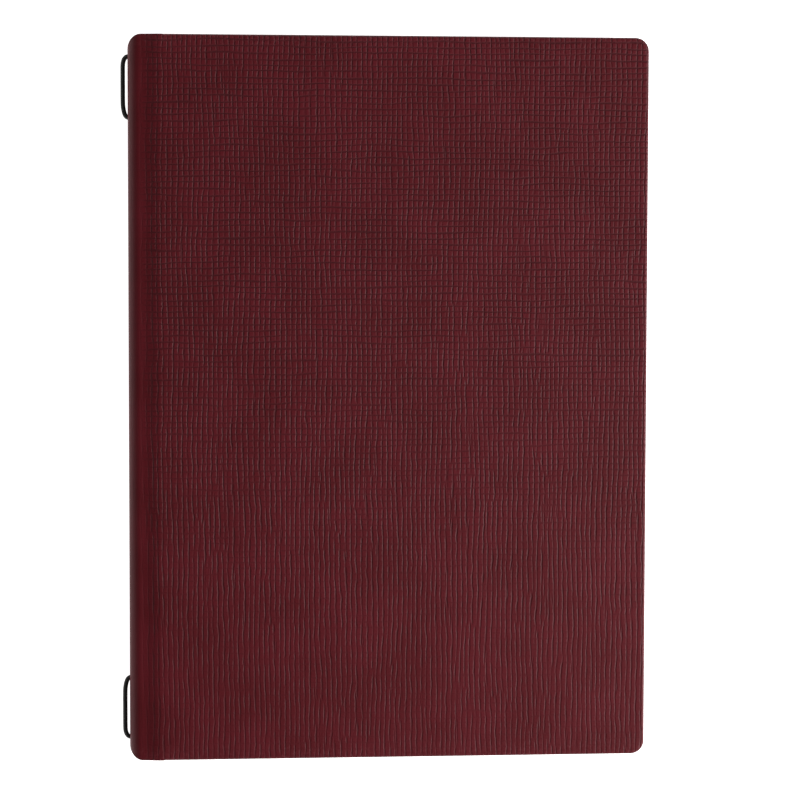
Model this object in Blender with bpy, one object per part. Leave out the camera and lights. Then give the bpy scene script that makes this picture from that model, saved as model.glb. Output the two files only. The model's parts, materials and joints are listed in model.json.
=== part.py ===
"""Elastic-bound coin album, closed and lying on its back cover.

Frame: metres, +X from the spine to the fore-edge, +Y towards the head, +Z up through the closed
book. The origin is the middle of the footprint, elastic loops included, on the resting face.
Cross-sections are drawn as (g, z) points, where g is the distance from the spine's outer face.

The covers and the spine share one leatherette skin, cut at the middle of its two folds, where the
hinge axes run. Six pocket leaves are the halves of three folded pairs, nested in one another, and
one elastic cord holds them: it runs down inside the innermost fold, out round the spine at the
head and the tail, and back behind the folds, where a crimped sleeve joins its ends.
"""

import math

import bmesh
import bpy
from mathutils import Vector

# Covers
COVER_WIDTH = 0.230
COVER_HEIGHT = 0.320
COVER_CORNER = 0.006
WRAP = 0.0007
BOARD = 0.0016
TURN_IN = 0.0005
TURN_IN_WIDTH = 0.015
GAP = 0.0003

# Spine: its folds are arcs, and a shoulder climbs from each arc to the cover's face
FOLD_RADIUS = 0.0055
SHOULDER_RISE = 0.0012
SHOULDER_END = 0.0145
BOX_START = 0.0155
SKIN_CUT = 0.0004
ARC_STEPS = 5
SHOULDER_STEPS = 5
SPINE_STRIP = 0.0010
SPINE_STRIP_WIDTH = 0.0056
SPINE_LINING = 0.0004
SPINE_LINING_WIDTH = 0.0082
SPINE_PIECE_HEIGHT = 0.306

# Leaves
PAGE_HEIGHT = 0.297
PAGE_WIDTH = 0.210
LEAVES = 6
PAIRS = LEAVES // 2
FILM = 0.00025
CARD = 0.0003
FILM_TO_CARD = 0.0002
LEAF_TO_LEAF = 0.00025
LEAF_TO_COVER = 0.0005
POCKET_COLUMNS = 4
POCKET_ROWS = 5
ROOT_MARGIN = 0.014
EDGE_MARGIN = 0.003
MOUTH_WIDTH = 0.016
MOUTH_DEPTH = 0.005
MOUTH_TAPER = 0.003

# Page folds
FOLD_FILM = 0.0004
FOLD_PITCH = 0.0007
FLANGE_END = 0.0105
FLANGE_STEP = 0.00045
LEAF_START = 0.00035

# Elastic
CORD_RADIUS = 0.001
CORD_STAND_OUT = 0.0031
CORD_HOLE_RADIUS = 0.0016
HOLE_SIDES = 10
OUTER_HOLE = 0.1505
INNER_HOLE = 0.1236
CORD_END_GAP = 0.0006
CRIMP_LENGTH = 0.009
CRIMP_RADIUS = 0.0015
CRIMP_BORE = 0.00125
CRIMP_SIDES = 12
CURVE_STEPS = 3

# Worked out from the above
COVER_THICKNESS = WRAP + GAP + BOARD + GAP + TURN_IN
LEAF_THICKNESS = 2 * FILM + 2 * FILM_TO_CARD + CARD
LEAF_PITCH = LEAF_THICKNESS + LEAF_TO_LEAF
THICKNESS = 2 * (COVER_THICKNESS + LEAF_TO_COVER) + LEAVES * LEAF_PITCH
MIDDLE = THICKNESS / 2
SPINE_X = -(COVER_WIDTH - CORD_STAND_OUT) / 2
HINGE_G = FOLD_RADIUS * (1 - math.cos(math.pi / 4))
HINGE_Z = SHOULDER_RISE + HINGE_G
REAR_RUN_G = WRAP + SPINE_STRIP + SPINE_LINING + 3 * GAP + CRIMP_RADIUS
OUTER_FOLD_G = REAR_RUN_G + CRIMP_RADIUS + GAP
FRONT_RUN_G = OUTER_FOLD_G + (PAIRS - 1) * FOLD_PITCH + FOLD_FILM + GAP + CORD_RADIUS
INNER_FLANGE_Z = CORD_RADIUS + GAP + FOLD_FILM / 2
POCKETS_G = FLANGE_END + LEAF_START + ROOT_MARGIN

FINISHES = {
    "leatherette": ((0.085, 0.016, 0.019), 0.55, 0.0, 1.0),
    "greyboard": ((0.32, 0.29, 0.25), 0.95, 0.0, 1.0),
    "lining_paper": ((0.02, 0.02, 0.022), 0.85, 0.0, 1.0),
    "elastic": ((0.012, 0.012, 0.012), 0.8, 0.0, 1.0),
    "crimp_steel": ((0.6, 0.6, 0.62), 0.3, 1.0, 1.0),
    "pocket_film": ((0.85, 0.87, 0.88), 0.15, 0.0, 0.35),
    "insert_card": ((0.75, 0.73, 0.68), 0.9, 0.0, 1.0),
}


def clear_scene():
    for obj in list(bpy.data.objects):
        bpy.data.objects.remove(obj, do_unlink=True)


def finish(name):
    """The named Principled material, made on first use."""
    found = bpy.data.materials.get(name)
    if found:
        return found
    colour, roughness, metallic, alpha = FINISHES[name]
    made = bpy.data.materials.new(name)
    made.use_nodes = True
    shader = made.node_tree.nodes["Principled BSDF"]
    shader.inputs["Base Color"].default_value = (*colour, 1.0)
    shader.inputs["Roughness"].default_value = roughness
    shader.inputs["Metallic"].default_value = metallic
    shader.inputs["Alpha"].default_value = alpha
    return made


def pivot(name, g, z, parent=None):
    """An empty on a hinge axis, which runs along Y."""
    empty = bpy.data.objects.new(name, None)
    empty["axis_at"] = (SPINE_X + g, 0.0, z)
    empty.location = empty["axis_at"]
    if parent:
        empty.parent = parent
        empty.location = Vector(empty["axis_at"]) - Vector(parent["axis_at"])
    bpy.context.collection.objects.link(empty)
    return empty


def add(name, bm, material=None, parent=None):
    """An object from a bmesh in world coordinates; under a pivot its own origin is the pivot's."""
    bmesh.ops.recalc_face_normals(bm, faces=bm.faces)
    if parent:
        bmesh.ops.translate(bm, vec=-Vector(parent["axis_at"]), verts=bm.verts)
    mesh = bpy.data.meshes.new(name)
    bm.to_mesh(mesh)
    bm.free()
    obj = bpy.data.objects.new(name, mesh)
    obj.parent = parent
    if material:
        mesh.materials.append(finish(material))
    bpy.context.collection.objects.link(obj)
    return obj


def prism(bm, corners, direction):
    """A closed prism: the flat outline through corners, extruded along direction."""
    face = bm.faces.new([bm.verts.new(corner) for corner in corners])
    grown = bmesh.ops.extrude_face_region(bm, geom=[face], use_keep_orig=True)
    tops = [item for item in grown["geom"] if isinstance(item, bmesh.types.BMVert)]
    bmesh.ops.translate(bm, vec=direction, verts=tops)


def section_prism(section, half_height):
    """A (g, z) section extruded along the album's height."""
    bm = bmesh.new()
    corners = [(SPINE_X + g, -half_height, z) for g, z in section]
    prism(bm, corners, (0, 2 * half_height, 0))
    return bm


def arc(centre, radius, start, end, steps):
    """Points of an arc in degrees, both ends included."""
    angles = [math.radians(start + (end - start) * i / steps) for i in range(steps + 1)]
    return [(centre[0] + radius * math.cos(a), centre[1] + radius * math.sin(a)) for a in angles]


def cover_plan(g0, g1, half_height, spine_corner, fore_corner):
    """A rectangle seen from above, as (g, y), with its own corner radius at either side."""
    points = []
    for g, y, side, turn, radius in (
        (g1, half_height, -1, 0, fore_corner),
        (g0, half_height, 1, 90, spine_corner),
        (g0, -half_height, 1, 180, spine_corner),
        (g1, -half_height, -1, 270, fore_corner),
    ):
        if radius:
            centre = (g + side * radius, y - math.copysign(radius, y))
            points += arc(centre, radius, turn, turn + 90, ARC_STEPS)
        else:
            points.append((g, y))
    return points


def plan_prism(plan, z0, z1):
    bm = bmesh.new()
    prism(bm, [(SPINE_X + g, y, z0) for g, y in plan], (0, 0, z1 - z0))
    return bm


def front_z(z, front):
    """A height in the back cover, or its mirror image in the front cover."""
    return THICKNESS - z if front else z


def cutter(name, bm):
    obj = add(name, bm)
    obj.hide_render = True
    obj.display_type = "WIRE"
    return obj


def boolean(obj, operation, other):
    modifier = obj.modifiers.new(other.name, "BOOLEAN")
    modifier.operation = operation
    modifier.solver = "EXACT"
    modifier.object = other


def case_outline():
    """The whole case seen from above, a hair proud on its straight sides so that it trims only the
    corners, the spine's head and tail among them."""
    proud = 0.00005
    plan = cover_plan(
        -proud, COVER_WIDTH + proud, COVER_HEIGHT / 2 + proud, COVER_CORNER, COVER_CORNER
    )
    return cutter("case_outline", plan_prism(plan, -0.005, THICKNESS + 0.005))


def shoulder(depth):
    """The back cover's shoulder, depth inside the skin's outer face, from the arc to the face."""
    length = SHOULDER_END - FOLD_RADIUS
    points = []
    for i in range(1, SHOULDER_STEPS + 1):
        share = i / SHOULDER_STEPS
        rise = SHOULDER_RISE * (1 + math.cos(math.pi * share)) / 2
        points.append((FOLD_RADIUS + length * share, rise + depth))
    return points


def fold_arc(depth, start, end):
    """Part of the back fold, depth inside its outer face. 180 degrees is the spine's side, 270
    degrees the cover's."""
    centre = (FOLD_RADIUS, FOLD_RADIUS + SHOULDER_RISE)
    return arc(centre, FOLD_RADIUS - depth, start, end, ARC_STEPS)


def cut_angle():
    """Half the cut in the skin at the middle of a fold, in degrees."""
    return math.degrees(SKIN_CUT / 2 / FOLD_RADIUS)


def cover_wrap(prefix, front, outline, parent):
    """The cover's skin: hinge strip, face, and edges turned in round the board."""
    start = 225 + cut_angle()
    outer = fold_arc(0, start, 270) + shoulder(0)
    inner = fold_arc(WRAP, start, 270) + shoulder(WRAP)
    section = outer + [(COVER_WIDTH, 0), (COVER_WIDTH, COVER_THICKNESS)]
    section += [(BOX_START, COVER_THICKNESS), (BOX_START, WRAP)] + inner[::-1]
    section = [(g, front_z(z, front)) for g, z in section]
    wrap = add(prefix + "_wrap", section_prism(section, COVER_HEIGHT / 2), "leatherette", parent)
    boolean(wrap, "INTERSECT", outline)

    half = COVER_HEIGHT / 2
    start = BOX_START - GAP
    plan = cover_plan(start, COVER_WIDTH - WRAP, half - WRAP, 0, COVER_CORNER - WRAP)
    z0, z1 = front_z(WRAP, front), front_z(COVER_THICKNESS - TURN_IN, front)
    boolean(wrap, "DIFFERENCE", cutter(prefix + "_board_space", plan_prism(plan, z0, z1)))

    plan = cover_plan(start, COVER_WIDTH - TURN_IN_WIDTH, half - TURN_IN_WIDTH, 0, 0)
    z0, z1 = front_z(COVER_THICKNESS - 2 * TURN_IN, front), front_z(2 * COVER_THICKNESS, front)
    boolean(wrap, "DIFFERENCE", cutter(prefix + "_window", plan_prism(plan, z0, z1)))


def cover_board(prefix, front, parent):
    inset = WRAP + GAP
    plan = cover_plan(
        BOX_START + GAP, COVER_WIDTH - inset, COVER_HEIGHT / 2 - inset, 0, COVER_CORNER - inset
    )
    bm = plan_prism(plan, front_z(inset, front), front_z(inset + BOARD, front))
    add(prefix + "_board", bm, "greyboard", parent)


def cover_lining(prefix, front, parent):
    inset = TURN_IN_WIDTH + GAP
    plan = cover_plan(SHOULDER_END, COVER_WIDTH - inset, COVER_HEIGHT / 2 - inset, 0, 0)
    z0, z1 = front_z(COVER_THICKNESS - TURN_IN, front), front_z(COVER_THICKNESS, front)
    add(prefix + "_lining", plan_prism(plan, z0, z1), "lining_paper", parent)


def cord_holes():
    """Cutters for the four holes that the elastic passes through in the spine."""
    bm = bmesh.new()
    for y in (-OUTER_HOLE, -INNER_HOLE, INNER_HOLE, OUTER_HOLE):
        ring = arc((y, MIDDLE), CORD_HOLE_RADIUS, 18, 378 - 360 / HOLE_SIDES, HOLE_SIDES - 1)
        corners = [(SPINE_X - 0.002, at_y, at_z) for at_y, at_z in ring]
        prism(bm, corners, (OUTER_FOLD_G, 0, 0))
    return cutter("cord_holes", bm)


def spine_wrap(outline, holes, parent):
    """The skin between the middles of the two folds, its head and tail scooped by the outline."""
    end = 225 - cut_angle()
    outer = fold_arc(0, end, 180)
    inner = fold_arc(WRAP, end, 180)
    outer += [(g, THICKNESS - z) for g, z in outer[::-1]]
    inner += [(g, THICKNESS - z) for g, z in inner[::-1]]
    bm = section_prism(outer + inner[::-1], COVER_HEIGHT / 2)
    wrap = add("spine_wrap", bm, "leatherette", parent)
    boolean(wrap, "INTERSECT", outline)
    boolean(wrap, "DIFFERENCE", holes)


def spine_flat(name, g, thickness, width, material, holes, parent):
    """A flat strip that stiffens or lines the spine."""
    low, high = MIDDLE - width / 2, MIDDLE + width / 2
    section = [(g, low), (g + thickness, low), (g + thickness, high), (g, high)]
    strip = add(name, section_prism(section, SPINE_PIECE_HEIGHT / 2), material, parent)
    boolean(strip, "DIFFERENCE", holes)


def page_fold(name, nest, parent):
    """The folded back of a pair of leaves; nest counts from the outermost, 0."""
    web = OUTER_FOLD_G + nest * FOLD_PITCH
    end = flange_end(nest)
    outer = flange_height(nest) + FOLD_FILM / 2
    inner = outer - FOLD_FILM
    section = [
        (end, MIDDLE - outer),
        (end, MIDDLE - inner),
        (web + FOLD_FILM, MIDDLE - inner),
        (web + FOLD_FILM, MIDDLE + inner),
        (end, MIDDLE + inner),
        (end, MIDDLE + outer),
        (web, MIDDLE + outer),
        (web, MIDDLE - outer),
    ]
    add(name, section_prism(section, PAGE_HEIGHT / 2), "pocket_film", parent)


def flange_height(nest):
    """Height of a fold's flange above the middle of the book, at the flange's own middle."""
    return INNER_FLANGE_Z + (PAIRS - 1 - nest) * FOLD_PITCH


def flange_end(nest):
    """Where a fold's flanges end: an outer fold's are shorter, so that its leaves can turn over
    without the next ones in their way."""
    return FLANGE_END - (PAIRS - 1 - nest) * FLANGE_STEP


def pocket_mouths():
    """Cutters for the thumb notch at the head of every pocket, through the whole stack."""
    bm = bmesh.new()
    width, height = pocket_size()
    for column in range(POCKET_COLUMNS):
        for row in range(POCKET_ROWS):
            g = POCKETS_G + EDGE_MARGIN + (column + 0.5) * width
            top = PAGE_HEIGHT / 2 - EDGE_MARGIN - row * height - EDGE_MARGIN
            half = MOUTH_WIDTH / 2
            plan = [(g - half, top), (g + half, top)]
            plan += [(g + half - MOUTH_TAPER, top - MOUTH_DEPTH)]
            plan += [(g - half + MOUTH_TAPER, top - MOUTH_DEPTH)]
            prism(bm, [(SPINE_X + at, y, -0.001) for at, y in plan], (0, 0, THICKNESS + 0.002))
    return cutter("pocket_mouths", bm)


def pocket_size():
    """Width and height of a pocket on the narrowest leaf."""
    width = (page_end(0) - POCKETS_G - 2 * EDGE_MARGIN) / POCKET_COLUMNS
    return width, (PAGE_HEIGHT - 2 * EDGE_MARGIN) / POCKET_ROWS


def page_end(nest):
    """Where a leaf's free edge lies: an inner pair stands further out, as folded pairs do."""
    return OUTER_FOLD_G + nest * FOLD_PITCH + PAGE_WIDTH


def leaf(number, mouths, spine):
    """One pocket leaf. Its outer film, on the side away from the middle of the book, carries the
    root that bends down to the page fold."""
    above = number <= PAIRS
    nest = number - 1 if above else LEAVES - number
    side = 1 if above else -1
    hinge_g = flange_end(nest) + LEAF_START
    hinge_z = MIDDLE + side * flange_height(nest)
    plane_z = MIDDLE + (LEAVES / 2 + 0.5 - number) * LEAF_PITCH
    turn = pivot(f"leaf_{number}_pivot", hinge_g, hinge_z, spine)

    offset = CARD / 2 + FILM_TO_CARD + FILM / 2
    half = side * FILM / 2
    film_z = plane_z + side * offset
    root = [(hinge_g + LEAF_START, hinge_z), (POCKETS_G, film_z), (page_end(nest), film_z)]
    carrier = [(g, z - half) for g, z in root] + [(g, z + half) for g, z in root[::-1]]
    film_z = plane_z - side * offset
    flat = [(POCKETS_G + GAP, film_z - half), (page_end(nest), film_z - half)]
    flat += [(page_end(nest), film_z + half), (POCKETS_G + GAP, film_z + half)]

    names = ("front", "back") if above else ("back", "front")
    for name, section in zip(names, (carrier, flat)):
        bm = section_prism(section, PAGE_HEIGHT / 2)
        film = add(f"leaf_{number}_{name}_pockets", bm, "pocket_film", turn)
        boolean(film, "DIFFERENCE", mouths)

    card_end = page_end(nest) - EDGE_MARGIN
    plan = cover_plan(POCKETS_G + EDGE_MARGIN, card_end, PAGE_HEIGHT / 2 - EDGE_MARGIN, 0, 0)
    bm = plan_prism(plan, plane_z - CARD / 2, plane_z + CARD / 2)
    add(f"leaf_{number}_card", bm, "insert_card", turn)


def cord_route():
    """The elastic's centre line as (g, y): from the crimp up behind the folds, out round the spine
    at the head, down the innermost fold, and the same way back round the tail."""
    out = CORD_RADIUS - CORD_STAND_OUT
    rear, front, hole, tip = REAR_RUN_G, FRONT_RUN_G, INNER_HOLE, OUTER_HOLE
    head = [
        (rear, CORD_END_GAP / 2),
        (rear, hole / 2),
        (rear, hole - 0.0045),
        (rear - 0.0007, hole - 0.0013),
        (rear - 0.0022, hole - 0.0001),
        (0.0004, hole + 0.0001),
        (out / 2, hole + 0.0012),
        (out * 0.9, hole + 0.0042),
        (out, hole + 0.0085),
        (out, tip - 0.0060),
        (out * 0.9, tip - 0.0025),
        (out / 2, tip - 0.0007),
        (0.0004, tip),
        (front - 0.0045, tip),
        (front - 0.0010, tip - 0.0009),
        (front, tip - 0.0035),
        (front, tip - 0.0100),
        (front, tip / 2),
    ]
    return head + [(front, 0.0)] + [(g, -y) for g, y in head[::-1]]


def smooth_curve(points, steps):
    """Points along a smooth curve through the given ones; steps to each bend, one to a straight."""
    padded = [points[0]] + points + [points[-1]]
    read = []
    for a, b, c, d in zip(padded, padded[1:], padded[2:], padded[3:]):
        straight = abs((c[0] - b[0])) < 1e-9
        for i in range(1 if straight else steps):
            t = i / steps
            read.append(
                tuple(
                    0.5
                    * (
                        2 * q
                        + (r - p) * t
                        + (2 * p - 5 * q + 4 * r - s) * t**2
                        + (3 * q - p - 3 * r + s) * t**3
                    )
                    for p, q, r, s in zip(a, b, c, d)
                )
            )
    return read + [points[-1]]


def elastic_cord(parent):
    curve = bpy.data.curves.new("elastic_cord", "CURVE")
    curve.dimensions = "3D"
    curve.bevel_depth = CORD_RADIUS
    curve.bevel_resolution = 2
    curve.use_fill_caps = True
    points = smooth_curve(cord_route(), CURVE_STEPS)
    spline = curve.splines.new("POLY")
    spline.points.add(len(points) - 1)
    at = Vector(parent["axis_at"])
    for point, (g, y) in zip(spline.points, points):
        point.co = (*(Vector((SPINE_X + g, y, MIDDLE)) - at), 1.0)
    curve.materials.append(finish("elastic"))
    cord = bpy.data.objects.new("elastic_cord", curve)
    cord.parent = parent
    bpy.context.collection.objects.link(cord)


def cord_crimp(parent):
    """The sleeve round the two ends of the elastic."""
    bm = bmesh.new()
    half = CRIMP_LENGTH / 2
    corners = ((CRIMP_RADIUS, -half), (CRIMP_RADIUS, half), (CRIMP_BORE, half), (CRIMP_BORE, -half))
    rings = []
    for i in range(CRIMP_SIDES):
        angle = math.tau * (i + 0.5) / CRIMP_SIDES
        x, z = math.cos(angle), math.sin(angle)
        centre = SPINE_X + REAR_RUN_G
        rings.append([bm.verts.new((centre + r * x, y, MIDDLE + r * z)) for r, y in corners])
    for ring, following in zip(rings, rings[1:] + rings[:1]):
        for i in range(4):
            j = (i + 1) % 4
            bm.faces.new((ring[i], ring[j], following[j], following[i]))
    sleeve = add("cord_crimp", bm, "crimp_steel", parent)
    sleeve.data.shade_smooth()
    sleeve.data.set_sharp_from_angle(angle=math.radians(40))


def cover(prefix, front, outline, parent):
    cover_wrap(prefix, front, outline, parent)
    cover_board(prefix, front, parent)
    cover_lining(prefix, front, parent)


def spine(outline, parent):
    holes = cord_holes()
    spine_wrap(outline, holes, parent)
    g = WRAP + GAP
    spine_flat("spine_strip", g, SPINE_STRIP, SPINE_STRIP_WIDTH, "greyboard", holes, parent)
    g += SPINE_STRIP + GAP
    spine_flat("spine_lining", g, SPINE_LINING, SPINE_LINING_WIDTH, "lining_paper", holes, parent)
    elastic_cord(parent)
    cord_crimp(parent)
    for nest, name in enumerate(("outer_page_fold", "middle_page_fold", "inner_page_fold")):
        page_fold(name, nest, parent)


def main():
    clear_scene()
    outline = case_outline()
    spine_turn = pivot("spine_pivot", HINGE_G, HINGE_Z)
    cover_turn = pivot("front_cover_pivot", HINGE_G, THICKNESS - HINGE_Z, spine_turn)
    cover("back_cover", False, outline, None)
    spine(outline, spine_turn)
    cover("front_cover", True, outline, cover_turn)
    mouths = pocket_mouths()
    for number in range(1, LEAVES + 1):
        leaf(number, mouths, spine_turn)


main()
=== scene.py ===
"""Looks for a closed, elastic-bound coin album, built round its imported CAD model.

Everything is in metres in the CAD frame: +X from the spine to the fore-edge, +Y towards the
head, +Z up through the closed book. Cross-sections are drawn as (g, z), where g is the distance
from the spine's outer face. Pieces of the front half are drawn in the back half and mirrored.
"""

import json
import logging
import math
from dataclasses import dataclass
from enum import Enum
from typing import Any, Iterable, Sequence

import bmesh
import bpy
from mathutils import Matrix, Vector
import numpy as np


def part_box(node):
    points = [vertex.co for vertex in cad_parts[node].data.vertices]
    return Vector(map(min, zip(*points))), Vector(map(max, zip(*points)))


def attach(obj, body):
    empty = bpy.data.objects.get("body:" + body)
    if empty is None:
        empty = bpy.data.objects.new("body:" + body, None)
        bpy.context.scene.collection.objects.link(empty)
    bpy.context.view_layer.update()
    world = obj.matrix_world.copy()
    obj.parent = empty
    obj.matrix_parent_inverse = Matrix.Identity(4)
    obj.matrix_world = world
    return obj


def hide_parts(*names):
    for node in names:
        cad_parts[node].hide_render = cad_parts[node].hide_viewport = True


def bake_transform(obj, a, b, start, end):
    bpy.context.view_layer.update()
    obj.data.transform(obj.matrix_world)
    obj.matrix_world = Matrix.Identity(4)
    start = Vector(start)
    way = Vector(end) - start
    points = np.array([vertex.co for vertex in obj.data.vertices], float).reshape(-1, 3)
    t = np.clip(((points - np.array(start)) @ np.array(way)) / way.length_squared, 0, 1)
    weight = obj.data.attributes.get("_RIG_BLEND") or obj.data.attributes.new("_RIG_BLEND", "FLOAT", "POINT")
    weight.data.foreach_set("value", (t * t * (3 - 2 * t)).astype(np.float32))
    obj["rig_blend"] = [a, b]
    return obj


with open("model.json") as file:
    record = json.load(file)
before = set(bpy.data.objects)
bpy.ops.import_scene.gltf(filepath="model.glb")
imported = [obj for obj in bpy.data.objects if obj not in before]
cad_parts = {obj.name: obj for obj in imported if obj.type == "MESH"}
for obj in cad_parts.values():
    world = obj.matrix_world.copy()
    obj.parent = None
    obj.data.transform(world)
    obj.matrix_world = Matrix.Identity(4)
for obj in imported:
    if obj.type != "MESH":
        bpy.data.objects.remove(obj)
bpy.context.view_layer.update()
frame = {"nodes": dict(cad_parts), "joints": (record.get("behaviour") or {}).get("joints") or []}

Point = tuple[float, float, float]
Flat = tuple[float, float]
Line = list[Point]
Ring = tuple[list[Flat], float, float]
Tree = bpy.types.NodeTree
Node = bpy.types.Node
Socket = bpy.types.NodeSocket
Output = Node | Socket  # a node stands for its first output
Material = bpy.types.Material
Piece = bpy.types.Object
BMesh = bmesh.types.BMesh
Vert = bmesh.types.BMVert

MM = 0.001
MERGE = 2e-6
NOISE_LOW, NOISE_HIGH = 0.3, 0.7  # nearly all of a noise's values lie between these
SHARE, FIRST, SECOND, RESULT = 0, 6, 7, 2  # the Mix node's sockets for colours
LOG = logging.getLogger("coin_album")


class Half(Enum):
    """Which half of the closed book a piece belongs to."""

    BACK = 1
    FRONT = -1


class Slot(Enum):
    """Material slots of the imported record."""

    LEATHERETTE = "leatherette"
    GREYBOARD = "greyboard"
    LINING = "lining_paper"
    ELASTIC = "elastic"
    STEEL = "crimp_steel"
    FILM = "pocket_film"
    CARD = "insert_card"


# ---------------------------------------------------------------- nodes and materials


def linear(hex_colour: str) -> tuple[float, float, float, float]:
    """A colour for a node socket.

    Args:
        hex_colour: an sRGB colour as "#rrggbb".

    Returns:
        Linear red, green and blue, and an alpha of 1.
    """
    parts = [int(hex_colour[i : i + 2], 16) / 255 for i in (1, 3, 5)]
    curve = [c / 12.92 if c <= 0.04045 else ((c + 0.055) / 1.055) ** 2.4 for c in parts]
    return (*curve, 1.0)


def first_output(value: Any) -> Any:
    """A node's first output; anything else is given back."""
    return value.outputs[0] if isinstance(value, Node) else value


def add_node(
    tree: Tree, kind: str, sockets: dict[Any, Any] | None = None, **settings: Any
) -> Node:
    """Adds a node to a tree, with its settings and links.

    Args:
        tree: the shader or geometry tree.
        kind: the node's type.
        sockets: for each input, by name or number, a value, or the output or node that feeds it.
        settings: the node's own properties.

    Returns:
        The new node.
    """
    node = tree.nodes.new(kind)
    for name, value in settings.items():
        setattr(node, name, value)
    for name, value in (sockets or {}).items():
        source = first_output(value)
        if isinstance(source, Socket):
            tree.links.new(source, node.inputs[name])
        else:
            node.inputs[name].default_value = source
    return node


@dataclass(frozen=True)
class Finish:
    """What every finish has: its material's name and its typical shader values."""

    name: str
    roughness: float
    ior: float = 1.5
    metallic: float = 0.0

    def begin(self) -> tuple[Material, Tree, Node]:
        """A new material with its values set, its tree and its shader.

        Returns:
            The material, its node tree and its Principled BSDF.
        """
        material = bpy.data.materials.new(self.name)
        material.use_nodes = True
        tree = material.node_tree
        shader = tree.nodes["Principled BSDF"]
        shader.inputs["Roughness"].default_value = self.roughness
        shader.inputs["Metallic"].default_value = self.metallic
        if not self.metallic:
            shader.inputs["IOR"].default_value = self.ior
        return material, tree, shader

    def bump(self, tree: Tree, shader: Node, height: Output, depth: float,
             strength: float = 1.0) -> None:
        """Drives the shader's normal from a height between 0 and 1.

        Args:
            tree: the material's or the modifier's node tree.
            shader: the material's Principled BSDF.
            height: what the relief follows.
            depth: the height in metres that 1 stands for.
            strength: how much of the bump is used.
        """
        sockets = {"Height": height, "Distance": depth, "Strength": strength}
        relief = add_node(tree, "ShaderNodeBump", sockets)
        tree.links.new(relief.outputs[0], shader.inputs["Normal"])

    def rough_by(self, tree: Tree, value: Output, less: float, more: float) -> Output:
        """A roughness that swings about the finish's own with a noise."""
        span = (self.roughness - less, self.roughness + more)
        return add_node(tree, "ShaderNodeMapRange", {
            "Value": value,
            "From Min": NOISE_LOW,
            "From Max": NOISE_HIGH,
            "To Min": span[0],
            "To Max": span[1],
        }, interpolation_type="SMOOTHSTEP")

    def connect(self, tree: Tree, shader: Node, colour: Output, rough: Output) -> None:
        """Links the colour and the roughness to the shader."""
        tree.links.new(first_output(colour), shader.inputs["Base Color"])
        tree.links.new(first_output(rough), shader.inputs["Roughness"])

    def build(self) -> Material:
        """The finished material."""
        raise NotImplementedError


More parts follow.
